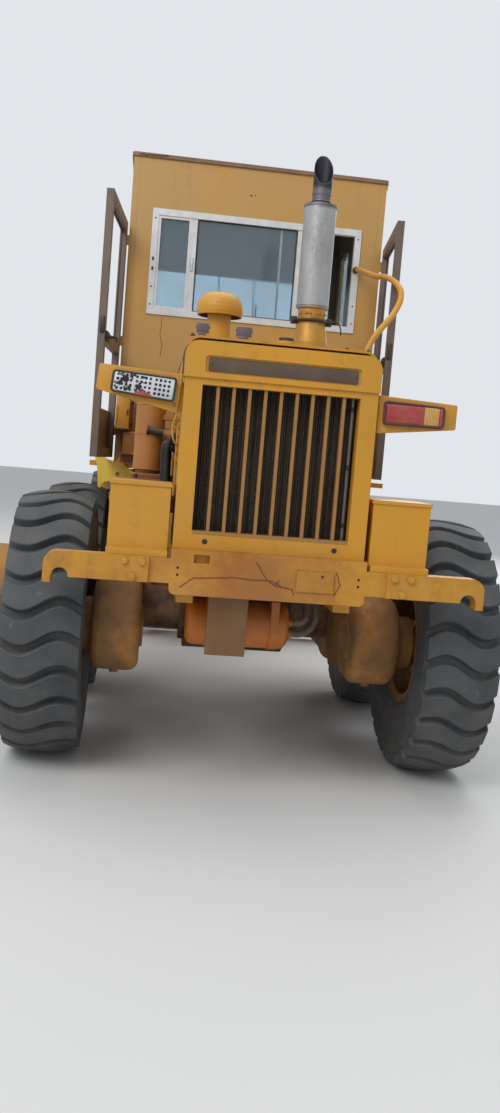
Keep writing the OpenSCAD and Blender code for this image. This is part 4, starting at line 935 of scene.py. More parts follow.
def make_broken_lamp():
    """The left lamp on its bent bracket: the lens is gone, and the silvered board shows its dark cells."""
    black, board, dark, red, steel = range(1, 6)
    shape = Shape()
    lamp_bracket(shape)
    shape.plate(lamp_edge(), facing_back(BACK + 0.022), 0.020, black, 0.003)
    shape.plate(lamp_edge(-0.008), facing_back(BACK + 0.0025), 0.0045, board, 0.001)
    shape.sweep([Vector((u, BACK - 0.002, v)) for u, v in lamp_edge(-0.003)], 0.0055, black, 8, loop=True)
    lamp_cells(shape, dark, steel)
    shape.plate(SHARD, facing_back(BACK - 0.004), 0.0035, red, 0.0005)
    shape.turn(Matrix.Diagonal((-1.0, 1.0, 1.0, 1.0)))
    pivot = Vector((-HOOD_HALF - 0.006, 0.0, BRACKET_FOOT[1]))
    lifted = Matrix.Translation(pivot + Vector((0.0, 0.0, LAMP_LIFT)))
    shape.turn(lifted @ Matrix.Rotation(math.radians(LAMP_BEND), 4, "Y") @ Matrix.Translation(-pivot))
    lamp_foot(shape, -1)
    finishes = [PAINT, TRIM, REFLECTOR, NEAR_BLACK_AND_HOLE_SHADE, RED_LENS, STEEL]
    lamp = shape.piece("broken_lamp_left", REAR, finishes)
    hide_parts("tail_lamps")


def make_red_lamp():
    """The right lamp: a ribbed red lens with an amber square at its outer end."""
    surround = 1
    shape = Shape()
    lamp_bracket(shape)
    lamp_foot(shape, 1)
    shape.plate(lamp_edge(), facing_back(BACK + 0.022), 0.018, surround, 0.003)
    shape.sweep([Vector((u, BACK + 0.002, v)) for u, v in lamp_edge(-0.004)], 0.008, surround, 8, loop=True)
    for near, far, colour in LENS_PARTS:
        rings = []
        for i in range(LENS_ROWS + 1):
            z = LENS_LOW + LENS_TALL * i / LENS_ROWS
            bulge = LENS_BULGE * math.sin(math.pi * i / LENS_ROWS) ** 0.5
            side = BACK - 0.003 - bulge * 0.9
            rings.append([(near, BACK + 0.004, z), (far, BACK + 0.004, z), (far, side, z),
                          ((near + far) / 2, BACK - 0.004 - bulge, z), (near, side, z)])
        shape.skin(rings, colour)
    shape.piece("red_lamp_right", REAR, [PAINT, LAMP_SURROUND, RED_LENS, AMBER_LENS])


def make_front_lamps():
    """Rims and lenses on the two front lamps."""
    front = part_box("headlamps")[1].y
    shape = Shape()
    for x in (-FRONT_LAMP_X, FRONT_LAMP_X):
        centre = Vector((x, front, FRONT_LAMP_Z))
        shape.sweep(facing_ring(centre, 0.072, 0.001, 32), 0.007, 0, 8, loop=True)
        shape.skin([facing_ring(centre, radius, bulge, 32) for radius, bulge in FRONT_LENS], 1)
    shape.piece("front_lamp_lenses", "front_section", [TRIM, CLEAR_LENS])


# Hood and rear end

# The recess's bare plate: half its width, and its lower and upper edge
NAME_HALF = 0.343
NAME_LOW = 1.991
NAME_TOP = 2.054
LIP_R = 0.064
LIP_DROP = 0.150
# Strips round the cap: near and far edge from its back, how proud it stands, and its material
LIP_STRIPS = [(0.004, 0.026, 0.0022, 0), (0.060, 0.0695, 0.0060, 1)]
# Seams of the hood's side doors: places along the side, from its back, and their lower and upper ends
DOOR_SEAMS = (0.240, 0.985, 1.720)
DOOR_STARTS = (0.260, 1.005)
DOOR_LOW = 1.244
DOOR_TOP = 2.085
DOOR_LONG = 0.700
SEAM = 0.006
BUMPER_FACE = BACK - 0.060
# Cracks in the bumper's back face, as (x, z) points
CRACKS = [[(-0.340, 1.062), (-0.180, 1.074), (0.020, 1.070), (0.060, 1.050)],
          [(-0.060, 1.150), (-0.010, 1.078), (0.030, 1.052), (0.110, 1.040), (0.122, 1.012)],
          [(0.030, 1.052), (0.050, 1.078)],
          [(-0.400, 1.016), (-0.360, 1.050), (-0.340, 1.062)],
          [(0.310, 1.134), (0.330, 1.076), (0.306, 1.024)]]
# Left and right side of the two latch blocks on the hood
LATCH_BLOCKS = ((-0.401, -0.348), (-0.216, -0.150))
SIDE_TANK_X = 0.344
SIDE_TANK_LOW = 1.262
SIDE_TANK_TOP = 1.938
RAIL_R = 0.0168
RAIL_FOOT = HOOD_TOP - 0.085
# The handrail's way from the window's frame over its bend to the hood's side
RAIL_KNOTS = [(0.640, CAB_BACK - 0.008, 2.868), (0.640, CAB_BACK - 0.060, 2.868),
              (0.641, CAB_BACK - 0.300, 2.812), (0.642, BACK + 1.332, 2.735), (0.668, BACK + 1.162, 2.702),
              (0.690, BACK + 1.090, 2.680), (0.714, BACK + 1.037, 2.648), (0.730, BACK + 0.992, 2.604),
              (0.724, BACK + 0.957, 2.548), (0.698, BACK + 0.922, 2.492), (0.662, BACK + 0.882, 2.438),
              (0.582, BACK + 0.822, 2.338), (0.546, BACK + 0.807, 2.275), (0.518, BACK + 0.796, 2.190),
              (0.507, BACK + 0.791, RAIL_FOOT + 0.030), (0.500, BACK + 0.790, RAIL_FOOT + 0.008),
              (0.482, BACK + 0.790, RAIL_FOOT), (HOOD_HALF, BACK + 0.790, RAIL_FOOT)]
# Rings inside the intake's cap: inner and outer radius, lower and upper face above the hood
SCREEN_RINGS = [(0.0595, 0.0972, 0.1735, 0.1775), (0.0965, 0.0978, 0.1550, 0.1770),
                (0.0965, 0.1085, 0.1545, 0.1558)]
# Rings round the muffler: radius, height above the hood, thickness and material
MUFFLER_RINGS = [(0.0805, 0.202, 0.0075, 0), (0.0850, 0.276, 0.0020, 2), (0.0500, 0.812, 0.0035, 2)]
MUFFLER_Y = BACK + 0.750
# The wire's way from the clamp, measured from the muffler's middle at the hood
CLAMP_WIRE = [(0.100, -0.010, 0.205), (0.128, -0.006, 0.210), (0.150, 0.004, 0.200), (0.162, 0.014, 0.178),
              (0.166, 0.020, 0.150)]
# The torn sheet's outline as (x, z) points, from its outer upper corner round to its torn edge
TORN_OUTLINE = [(-0.925, 1.592), (-0.898, 1.474), (-0.886, 1.363), (-0.873, 1.363), (-0.852, 1.402),
                (-0.803, 1.408), (-0.650, 1.404), (-0.642, 1.430), (-0.664, 1.452), (-0.650, 1.474),
                (-0.690, 1.490), (-0.709, 1.502), (-0.738, 1.530), (-0.766, 1.570), (-0.786, 1.538),
                (-0.808, 1.528), (-0.840, 1.548), (-0.866, 1.562), (-0.900, 1.580)]
AIR_CLEANER_AT = Vector((-0.584, BACK + 0.740, 0.0))
AIR_CLEANER_R = 0.0765
# Seams of the air cleaner: height and thickness
AIR_CLEANER_SEAMS = [(1.522, 0.003), (1.700, 0.0022), (1.852, 0.003)]
# Its elbow's height, reach and rise, how far back its port begins, and the tray under it
ELBOW_Z = 1.890
ELBOW_REACH = 0.075
ELBOW_RISE = 0.060
PORT_BACK = 0.077
TRAY_LEFT = -0.664
TRAY_LOW = 1.466
TRAY_TOP = 1.474
# Boxes on the cab's left rear corner, back from its wall: x and z of the low corner, x and z of the
# high one, how far it stands back, its material and its rounding
LOCKERS = [(-0.800, 1.746, -0.716, 1.938, 0.240, 0, 0.006), (-0.803, 1.736, -0.713, 1.748, 0.244, 2, 0.002),
           (-0.746, 1.594, -0.656, 1.726, 0.200, 1, 0.006), (-0.750, 1.586, -0.652, 1.597, 0.204, 2, 0.002),
           (-0.714, 1.728, -0.688, 1.912, 0.150, 2, 0.004), (-0.760, 1.5305, -0.640, 1.586, 0.110, 2, 0.004)]
# The bay in the hood's left side, a dark sheet of painted shade: its ends and heights, and its hoses' place
# and reach outward
BAY_ENDS = (BACK + 0.420, BACK + 1.100)
BAY_LOW = 1.330
BAY_TOP = 1.740
BAY_HOSES = [(BACK + 0.500, 0.045), (BACK + 0.560, 0.062), (BACK + 0.610, 0.034)]


def make_name_recess():
    """The bare plate in the recess above the grille."""
    shape = Shape()
    face = BACK - 0.0012
    outline = rounded(-NAME_HALF, NAME_LOW, NAME_HALF, NAME_TOP, 0.008)
    shape.plate(outline, facing_back(face), 0.003, 0, 0.001)
    for x in (-0.330, 0.330):
        shape.bolt((x, face - 0.003, (NAME_LOW + NAME_TOP) / 2), (0, -1, 0), 0.005, 0, 0.004)
    shape.piece("bare_name_plate", REAR, [PLATE_BACK])


def make_hood_lip():
    """The worn rim of the cap's back edge, and the dark rubber between the cap and the hood."""
    half = HOOD_HALF + 0.005
    inner = half - LIP_R
    path = [(-half, CAP_TOP - LIP_DROP)]
    for centre, start in ((-inner, 180), (inner, 90)):
        for k in range(9):
            angle = math.radians(start - 90 * k / 8)
            path.append((centre + LIP_R * math.cos(angle), CAP_TOP - LIP_R + LIP_R * math.sin(angle)))
    path.append((half, CAP_TOP - LIP_DROP))
    shape = Shape()
    for near, far, proud, material in LIP_STRIPS:
        back, front = Vector((0, BACK + near, 0)), Vector((0, BACK + far, 0))
        rings = []
        for x, z in path:
            out = Vector((x - max(-inner, min(inner, x)), 0.0, z - min(z, CAP_TOP - LIP_R)))
            out = out.normalized() if out.length > 1e-6 else Vector((math.copysign(1, x), 0.0, 0.0))
            here = Vector((x, 0.0, z))
            rings.append([here + back - out * 0.001, here + back + out * proud, here + front + out * proud,
                          here + front - out * 0.001])
        shape.skin(rings, material)
    shape.piece("hood_edge_strip", REAR, [LIP_PAINT, TRIM])


def hood_door(shape, out, y):
    """Seams, hinges and latch of one side door of the hood, which starts at y."""
    paint, iron, dark = range(3)
    side = out * HOOD_HALF
    for z in (DOOR_TOP, DOOR_LOW):
        shape.box(*pad(side, out * 0.0015, y, z, y + DOOR_LONG, z + SEAM), dark, 0.0)
    for z in (1.330, 1.940):
        hinge = (side + out * 0.007, y + 0.010)
        shape.rod((*hinge, z), (*hinge, z + 0.080), 0.008, paint, 14)
    shape.box(*pad(side, out * 0.010, y + 0.640, 1.620, y + 0.670, 1.700), iron, 0.003)
    shape.rod((side, y + 0.655, 1.660), (side + out * 0.030, y + 0.655, 1.660), 0.008, iron, 14)
    shape.box(*pad(side + out * 0.022, out * 0.008, y + 0.610, 1.652, y + DOOR_LONG, 1.668), iron, 0.003)


def make_hood_fittings():
    """Side door seams, hinges and latches, and the small pieces on the hood's top."""
    paint, iron, dark = range(3)
    shape = Shape()
    for out in (-1, 1):
        for y in DOOR_SEAMS:
            at = BACK + y
            shape.box(*pad(out * HOOD_HALF, out * 0.0015, at, 1.250, at + SEAM, 2.080), dark, 0.0)
        for y in DOOR_STARTS:
            hood_door(shape, out, BACK + y)
    cap = (0.020, BACK + 0.170)
    shape.rod((*cap, HOOD_TOP - 0.002), (*cap, HOOD_TOP + 0.018), 0.050, paint, 32)
    shape.rod((*cap, HOOD_TOP + 0.018), (*cap, HOOD_TOP + 0.034), 0.036, iron, 8)
    pin = (-0.330, BACK + 0.300)
    shape.rod((*pin, HOOD_TOP), (*pin, HOOD_TOP + 0.022), 0.014, iron, 6)
    for x in (-0.420, 0.300, 0.400):
        shape.bolt((x, BACK + 0.120, HOOD_TOP), (0, 0, 1), 0.010, iron, 0.008)
    shape.piece("hood_fittings", REAR, [PAINT, IRON, NEAR_BLACK_AND_HOLE_SHADE])


def make_bumper_marks():
    """Cracks and small holes in the bumper's back face, and two below the grille; the holes are dark discs of
    painted shade.
    """
    weld, dark = range(2)
    shape = Shape()
    for i, points in enumerate(CRACKS):
        weld_line(shape, [(x, BUMPER_FACE - 0.0002, z) for x, z in points], 0.0024, weld, 8, i)
    for x in (-0.415, 0.415):
        for z in (1.072, 1.104):
            shape.rod((x, BUMPER_FACE + 0.002, z), (x, BUMPER_FACE - 0.0012, z), 0.006, dark, 14)
    shape.rod((0.245, BACK - 0.068, 1.108), (0.245, BACK - 0.0695, 1.108), 0.006, dark, 12)
    for x in (-0.300, 0.300):
        shape.rod((x, BACK + 0.004, 1.225), (x, BACK - 0.001, 1.225), 0.0125, dark, 20)
    shape.piece("bumper_marks", REAR, [WELD, NEAR_BLACK_AND_HOLE_SHADE])


def make_lid_latches():
    """Grey latch covers over the two blocks on the hood, each with its notch and pin."""
    shape = Shape()
    low, high = HOOD_TOP + 0.018, HOOD_TOP + 0.064
    y0, y1 = BACK + 0.135, BACK + 0.170
    for x0, x1 in LATCH_BLOCKS:
        shape.box((x0 - 0.002, y0 - 0.002, low), (x1 + 0.002, y1 + 0.002, high), 0, 0.003)
        shape.box((x0 + 0.006, y0 - 0.006, HOOD_TOP), (x1 - 0.014, y1 + 0.004, low + 0.002), 0, 0.003)
        pin = (y0 + 0.012, high - 0.018)
        shape.rod((x0 - 0.006, *pin), (x1 + 0.006, *pin), 0.005, 1, 12)
    shape.piece("lid_latches", REAR, [LATCH_PAINT, IRON])


def make_radiator_fittings():
    """The grey side tank that shows at the right end of the grille."""
    at = (SIDE_TANK_X, BACK + 0.082)
    shape = Shape()
    shape.rod((*at, SIDE_TANK_LOW), (*at, SIDE_TANK_TOP), 0.013, 0, 18)
    for z in (1.330, 1.600, 1.870):
        shape.rod((*at, z), (*at, z + 0.022), 0.0155, 1, 18)
    shape.piece("radiator_side_tank", REAR, [STEEL, IRON])


def make_handrail():
    """The bent rail from the cab's wall down to the hood, drawn round and smooth."""
    paint, weld = range(2)
    shape = Shape()
    way = flowing(RAIL_KNOTS, 4)
    shape.sweep(way, RAIL_R, paint, 18)
    for at, out, reach in ((RAIL_KNOTS[0], (0, -1, 0), 0.022), (RAIL_KNOTS[-1], (1, 0, 0), 0.030)):
        shape.rod(Vector(at) + Vector(out) * 0.0002, Vector(at) + Vector(out) * 0.006, reach, paint, 28)
    shape.sweep(way[:6], RAIL_R + 0.0008, weld, 18)
    rail = shape.piece("bent_handrail", REAR, [PAINT, WELD])
    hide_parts("handrail")


def make_precleaner_screen():
    """The dark screen and lining up inside the hollow of the air intake's cap."""
    low, high = PRECLEANER
    centre = Vector(((low.x + high.x) / 2, (low.y + high.y) / 2, HOOD_TOP))
    shape = Shape()
    for near, far, bottom, top in SCREEN_RINGS:
        corners = ((near, bottom), (far, bottom), (far, top), (near, top))
        rings = [level_ring(centre, radius, z, 40) for radius, z in corners]
        shape.skin(rings + [rings[0]], 0, caps=False)
    bmesh.ops.remove_doubles(shape.bm, verts=shape.bm.verts, dist=1e-6)
    shape.piece("intake_screen", REAR, [RUSTY_DARK])


def make_muffler_fittings():
    """The muffler's clamp with its bolts and wire, the seams of its ends and the bolts of its band."""
    iron, paint, black = 0, 1, 3
    centre = Vector(((EXHAUST[0].x + EXHAUST[1].x) / 2, MUFFLER_Y, HOOD_TOP))
    shape = Shape()
    for radius, z, thick, material in MUFFLER_RINGS:
        shape.sweep(level_ring(centre, radius, z, 40), thick, material, 8, loop=True)
    for out in (-1, 1):
        lug = centre + Vector((out * 0.092, 0.0, 0.0))
        for near, far in ((-0.014, -0.003), (0.003, 0.014)):
            shape.box(lug + Vector((-0.016, near, 0.184)), lug + Vector((0.016, far, 0.222)), iron, 0.003)
        shape.bolt(lug + Vector((0.0, -0.014, 0.203)), (0, -1, 0), 0.009, iron, 0.012)
    for k in range(9):
        angle = math.radians(-150 + 15 * k)
        out = Vector((math.cos(angle), math.sin(angle), 0.0))
        if k % 3 != 1:
            shape.bolt(centre + out * 0.0715 + Vector((0.0, 0.0, 0.237)), out, 0.0065, paint, 0.007)
    wire = [centre + Vector(knot) for knot in CLAMP_WIRE]
    shape.sweep(flowing(wire, 4), 0.0035, black, 8)
    shape.piece("muffler_clamps", REAR, [IRON, PAINT, STEEL, TRIM])


def make_torn_sheet():
    """A stiff pale sheet with a torn upper edge, at the cab's lower left corner, its colour brightened as
    painted light where it stands in shade.
    """
    y = CAB_BACK - 0.004
    shape = Shape()
    shape.plate(TORN_OUTLINE, facing_back(y), 0.004, 0, 0.001)
    shape.box((-0.787, y - 0.012, 1.446), (-0.761, y - 0.003, 1.472), 1, 0.003)
    shape.piece("torn_side_sheet", REAR, [PALE_SHEET_WITH_PAINTED_LIGHT, STEEL])


def make_air_cleaner_fittings():
    """Seams, elbow and bracket of the air cleaner on the left of the hood."""
    paint, hose, iron, bracket = range(4)
    centre = AIR_CLEANER_AT
    shape = Shape()
    for z, thick in AIR_CLEANER_SEAMS:
        shape.sweep(level_ring(centre, AIR_CLEANER_R, z, 36), thick, paint, 8, loop=True)
    elbow = []
    for k in range(13):
        angle = math.radians(90 * k / 12)
        over, up = ELBOW_REACH * (1 - math.cos(angle)), ELBOW_Z + ELBOW_RISE * math.sin(angle)
        elbow.append(centre + Vector((over, 0.0, up)))
    elbow.append(elbow[-1] + Vector((0.070, 0.0, 0.0)))
    shape.sweep(elbow, 0.030, hose, 18)
    port = centre + Vector((0.0, -PORT_BACK, 0.0))
    shape.rod(port + Vector((-0.010, 0.0, 1.722)), port + Vector((0.070, 0.0, 1.714)), 0.019, iron, 20)
    shape.rod(port + Vector((-0.016, 0.0, 1.7225)), port + Vector((-0.004, 0.0, 1.7215)), 0.024, iron, 20)
    x0, y0 = TRAY_LEFT, centre.y - 0.110
    shape.box((x0, y0, TRAY_LOW), (-HOOD_HALF, y0 + 0.220, TRAY_TOP), bracket, 0.002)
    shape.box((x0, y0, TRAY_TOP), (-HOOD_HALF, y0 + 0.008, TRAY_TOP + 0.0265), bracket, 0.002)
    shape.box((x0 + 0.030, y0 + 0.010, TRAY_TOP), (-HOOD_HALF - 0.030, y0 + 0.200, TRAY_TOP + 0.0255),
              bracket, 0.002)
    for x in (-0.640, -0.480):
        shape.bolt((x, y0, 1.487), (0, -1, 0), 0.008, iron, 0.007)
    shape.piece("air_cleaner_fittings", REAR, [AIR_CLEANER_PAINT, HOSE, IRON, BRACKET_PAINT])


def make_left_lockers():
    """The yellow locker, the orange panel under it and the rusty post on the cab's left rear corner."""
    paint, iron = 0, 3
    shape = Shape()
    for x0, z0, x1, z1, reach, material, bevel in LOCKERS:
        shape.box((x0, CAB_BACK - reach, z0), (x1, CAB_BACK, z1), material, bevel)
    for z in (1.775, 1.905):
        shape.bolt((-0.702, CAB_BACK - 0.150, z), (0, -1, 0), 0.007, iron, 0.006)
    hinge = (-0.792, CAB_BACK - 0.243)
    shape.rod((*hinge, 1.790), (*hinge, 1.880), 0.005, paint, 12)
    shape.box((-0.735, CAB_BACK - 0.246, 1.825), (-0.722, CAB_BACK - 0.238, 1.860), iron, 0.002)
    shape.piece("left_lockers", REAR, [PAINT, AIR_CLEANER_PAINT, BRACKET_PAINT, IRON])


def make_bay_shade_sheet():
    """A dark sheet low on the hood's left side, painted shade in place of an open bay, with the hoses and the
    cable that run out of it.
    """
    dark, paint, hose, iron, cable = range(5)
    x = -HOOD_HALF
    y0, y1 = BAY_ENDS
    corners = ((y0, BAY_LOW), (y1, BAY_LOW), (y0, BAY_TOP), (y1, BAY_TOP))
    shape = Shape()
    # A thin near-black box flush on the hood's side: painted shade for the bay's hollow.
    shape.box((x - 0.0015, y0, BAY_LOW), (x + 0.002, y1, BAY_TOP), dark, 0.0)
    for start, end in ((0, 1), (2, 3), (0, 2), (1, 3)):
        shape.sweep([(x - 0.003, *corners[start]), (x - 0.003, *corners[end])], 0.006, paint, 8)
    for k, (y, out) in enumerate(BAY_HOSES):
        top = 1.700 - 0.030 * k
        route = [(x, y, top), (x - out * 0.6, y, top - 0.006), (x - out, y + 0.005, 1.650),
                 (x - out, y + 0.012, 1.560), (x - out * 0.9, y + 0.018, 1.470),
                 (x - out * 0.6, y + 0.020, 1.400), (x, y + 0.020, 1.372)]
        shape.sweep(flowing(route, 4), 0.0140, hose, 12)
        for at in (route[0], route[-1]):
            shape.rod(Vector(at) - Vector((0.022, 0, 0)), Vector(at), 0.019, iron, 6)
    route = [(x, BACK + 0.150, 1.800), (x - 0.020, BACK + 0.150, 1.790), (x - 0.034, BACK + 0.160, 1.740),
             (x - 0.030, BACK + 0.180, 1.690), (x - 0.018, BACK + 0.230, 1.664), (x, BACK + 0.420, 1.655)]
    # The cable takes the torn sheet's paint, brightened as painted light.
    shape.sweep(flowing(route, 5), 0.0045, cable, 8)
    shape.piece("bay_shade_sheet_and_hoses", REAR, [NEAR_BLACK_AND_HOLE_SHADE, PAINT, BLACK_HOSE, IRON, PALE_SHEET_WITH_PAINTED_LIGHT])


# Cab

# Left and right edge of the window's two panes, and its frame's width
PANES = ((-0.622, -0.420), (-0.376, 0.253))
WINDOW_FRAME = 0.043
# The second sash's edge behind the glass: left and right side, and how far inside the frame it ends
SASH_EDGE = (0.148, 0.162)
SASH_END = 0.041
# The latch's lower left and upper right corner
WINDOW_LATCH = ((-0.408, 2.760), (-0.392, 2.840))
# The lining over the windscreen, whose grey-blue paints the shade inside the cab: half its width and its
# lower and upper edge
LINING_HALF = 0.700
LINING_LOW = 2.985
LINING_TOP = 3.380
# The wipers' places across the windscreen and how far each leans
WIPERS = ((-0.150, 0.055), (0.120, 0.030))
RUST_RUN = [(-0.560, 2.462), (-0.566, 2.350), (-0.548, 2.290), (-0.556, 2.215)]
# How far each door hangs open past straight back, in degrees
DOOR_LEAN = {"left": -4.0, "right": -7.0}
DOOR_SKIN = 0.017
LATCH_Z = 2.230
HANDLE_OUT = 0.040
# The cushions' height and where the back begins, above the seat's box, and their crowns
SEAT_THICK = 0.118
BACK_START = 0.132
BACK_THICK = 0.115
SEAT_CROWN = 0.22
BACK_CROWN = 0.1


def make_window_fittings():
    """Screws, latch and rubber of the sliding rear window."""
    dark, metal, rubber_trim = range(3)
    low, high = WINDOW
    y = low.y
    shape = Shape()
    for x in (low.x + 0.020, high.x - 0.020):
        for z in (low.z + 0.060, low.z + 0.170, high.z - 0.060):
            shape.rod((x, y + 0.001, z), (x, y - 0.0012, z), 0.005, dark, 12)
    for z in (low.z + 0.270, low.z + 0.330):
        shape.box((low.x + 0.014, y - 0.002, z), (low.x + 0.026, y + 0.002, z + 0.022), dark, 0.001)
    (x0, z0), (x1, z1) = WINDOW_LATCH
    shape.box((x0, y + 0.002, z0), (x1, y + 0.009, z1), metal, 0.002)
    for x0, x1 in PANES:
        edge = rounded(x0 + 0.003, low.z + WINDOW_FRAME, x1 - 0.003, high.z - WINDOW_FRAME, 0.010)
        shape.sweep([Vector((u, CAB_BACK + 0.0105, v)) for u, v in edge], 0.004, rubber_trim, 6, loop=True)
    shape.piece("window_fittings", REAR, [NEAR_BLACK_AND_HOLE_SHADE, ALUMINIUM, TRIM])


def make_front_header():
    """The grey lining over the windscreen, a sheet of painted shade for the cab's inside, and the wipers
    below it.
    """
    lining, black = range(2)
    shape = Shape()
    y = CAB_FRONT - 0.062
    edge = LINING_LOW + 0.002
    shape.box((-LINING_HALF, y, LINING_LOW), (LINING_HALF, y + 0.020, LINING_TOP), lining, 0.006)
    shape.rod((-LINING_HALF, y + 0.006, edge), (LINING_HALF, y + 0.006, edge), 0.012, lining, 16)
    glass = CAB_FRONT - 0.010
    for x, lean in WIPERS:
        foot = x + lean
        arm = [(x, glass, LINING_LOW + 0.005), (x + lean * 0.4, glass + 0.004, 2.700), (foot, glass, 2.500)]
        shape.sweep(arm, 0.005, black, 8)
        shape.box((foot - 0.006, glass - 0.006, 2.480), (foot + 0.006, glass + 0.004, 2.800), black, 0.002)
    shape.piece("windscreen_header", REAR, [LINING_AS_PAINTED_SHADE, TRIM])


def make_sash_edge():
    """The pale edge of the second sash, behind the rear glass."""
    low, high = WINDOW
    shape = Shape()
    near, far = SASH_EDGE
    bottom, top = low.z + SASH_END, high.z - SASH_END
    shape.box((near, CAB_BACK + 0.019, bottom), (far, CAB_BACK + 0.027, top), 0, 0.002)
    shape.piece("second_sash_edge", REAR, [ALUMINIUM])


def make_roof_flakes():
    """Bent and rusted bits that hang at the roof's edge."""
    chance = random.Random(11)
    low, high = ROOF
    shape = Shape()
    spots = [(low.x, low.y, 1), (low.x, low.y + 0.18, 1), (high.x, low.y, -1), (high.x, low.y + 0.26, -1),
             (low.x, low.y + 0.62, 1), (high.x, low.y + 0.90, -1)]
    for x, y, inward in spots:
        drop = chance.uniform(0.018, 0.05)
        width = chance.uniform(0.012, 0.03)
        rings = []
        for k in range(5):
            t = k / 4
            at = Vector((x + inward * (0.012 - 0.008 * t), y + 0.02 + 0.01 * t, low.z + 0.004 - drop * t))
            half = width * (1 - 0.7 * t) / 2
            rings.append([at + Vector((-0.001, -half, 0)), at + Vector((-0.001, half, 0)),
                          at + Vector((0.001, half, 0)), at + Vector((0.001, -half, 0))])
        shape.skin(rings, 0)
    bead = [(low.x + 0.05, low.y - 0.0005, low.z + 0.010), (low.x + 0.22, low.y - 0.0005, low.z + 0.016)]
    weld_line(shape, bead, 0.004, 1, 9, 3)
    shape.piece("roof_edge_flakes", REAR, [ROOF_PAINT, WELD])


def make_cab_marks():
    """Two small holes, drawn as dark discs of painted shade, and a run of rust on the cab's rear wall."""
    y = CAB_BACK
    shape = Shape()
    weld_line(shape, [(x, y, z) for x, z in RUST_RUN], 0.0016, 0, 9, 5)
    for x, z, depth, radius in ((-0.060, 3.262, 0.0012, 0.006), (-0.035, 3.266, 0.0010, 0.004)):
        shape.rod((x, y + 0.002, z), (x, y - depth, z), radius, 1, 12)
    shape.piece("cab_marks", REAR, [WELD, NEAR_BLACK_AND_HOLE_SHADE])


def door_place(hand):
    """A place whose x runs out of the door, y along it from its hinge and z up, as it hangs at rest."""
    pin = next(joint["pos_m"] for joint in frame["joints"] if joint["child"] == f"door_body_{hand}")
    half_turn = 180 if hand == "left" else -180
    turn = math.radians(half_turn + DOOR_LEAN[hand])
    return Matrix.Translation((pin[0], pin[1], 0.0)) @ Matrix.Rotation(turn, 4, "Z")


def make_door_fittings(hand):
    """Handle, latch and rubber of one door."""
    iron, rubber_trim = range(2)
    out = -1 if hand == "left" else 1
    skin = out * DOOR_SKIN
    end = skin + out * HANDLE_OUT
    near, far = sorted((skin, skin + out * 0.012))
    shape = Shape()
    shape.box((near, 0.700, LATCH_Z - 0.025), (far, 0.800, LATCH_Z + 0.025), iron, 0.003)
    shape.rod((skin, 0.720, LATCH_Z), (end, 0.720, LATCH_Z), 0.008, iron, 14)
    handle = [(end, 0.715, LATCH_Z), (end + out * 0.004, 0.650, LATCH_Z + 0.002),
              (end, 0.580, LATCH_Z - 0.004)]
    shape.sweep(handle, 0.008, iron, 10)
    shape.box((-0.012, 0.828, 2.240), (0.012, 0.846, 2.330), iron, 0.003)
    edge = rounded(0.068, 2.265, 0.776, 2.950, 0.020)
    shape.sweep([Vector((out * -0.012, u, v)) for u, v in edge], 0.005, rubber_trim, 6, loop=True)
    shape.turn(door_place(hand))
    shape.piece(f"door_fittings_{hand}", f"door_body_{hand}", [IRON, TRIM])


def cushion(name, low, high, crown):
    """A crowned vinyl pad whose sides draw in between its corners, with two channels across its top."""
    low, high = Vector(low), Vector(high)
    size = high - low
    shape = Shape()
    bmesh.ops.create_cube(shape.bm, size=1.0)
    bmesh.ops.subdivide_edges(shape.bm, edges=shape.bm.edges, cuts=11, use_grid_fill=True)
    for vert in shape.bm.verts:
        u, v, w = (2 * c for c in vert.co)
        edge = max(abs(u), abs(v), abs(w))
        ball = Vector((u, v, w)).normalized() * edge
        soft = Vector((u, v, w)).lerp(ball, 0.16)
        pinch = 1.0 - 0.035 * (1 - abs(soft.z)) * (abs(u) ** 4 + abs(v) ** 4)
        swell = 1.0 + crown * (1 - u * u) * (1 - v * v)
        channel = -0.05 * math.exp(-((abs(u) - 0.55) / 0.05) ** 2) * (1 if w > 0.3 else 0)
        z = soft.z * swell + channel
        vert.co = Vector((soft.x * pinch * size.x / 2, soft.y * pinch * size.y / 2,
                          z * size.z / 2 / (1 + crown * 0.6)))
    shape.paint(shape.bm.verts, 0)
    shape.turn(Matrix.Translation((low + high) / 2))
    made = shape.piece(name, REAR, [VINYL], 60.0)
    return made


def make_seat():
    """The operator's seat: its cushion and its back."""
    low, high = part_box("seat_cushions")
    base = cushion("seat_pad", (low.x, low.y + 0.02, low.z), (high.x, high.y, low.z + SEAT_THICK), SEAT_CROWN)
    cushion("seat_back_pad", (low.x + 0.012, low.y, low.z + BACK_START),
            (high.x - 0.012, low.y + BACK_THICK, high.z), BACK_CROWN)
    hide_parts("seat_cushions")


# Front and blade

EDGE_BOLTS = 22
EDGE_BOLT_Z = 0.110
EDGE_BOLT_END = 0.090
EDGE_FACE = 0.638
# The two steel lines on the front frame: their heights, how far back they start, and their clamps
LINE_SIDE = -0.150
LINE_HEIGHTS = (1.640, 1.672)
LINE_START = -0.20
LINE_CLAMPS = (-0.15, 0.25, 0.65, 1.05)


def make_blade_bolts():
    """The bolts along the blade's cutting edge."""
    first = BLADE[0].x + EDGE_BOLT_END
    span = BLADE[1].x - BLADE[0].x - 2 * EDGE_BOLT_END
    shape = Shape()
    for i in range(EDGE_BOLTS):
        x = first + i * span / (EDGE_BOLTS - 1)
        shape.rod((x, EDGE_FACE - 0.020, EDGE_BOLT_Z), (x, EDGE_FACE + 0.006, EDGE_BOLT_Z), 0.012, 0, 16)
        shape.bolt((x, EDGE_FACE - 0.040, EDGE_BOLT_Z), (0, -1, 0), 0.013, 0, 0.016)
    shape.piece("cutting_edge_bolts", "blade_body", [IRON])


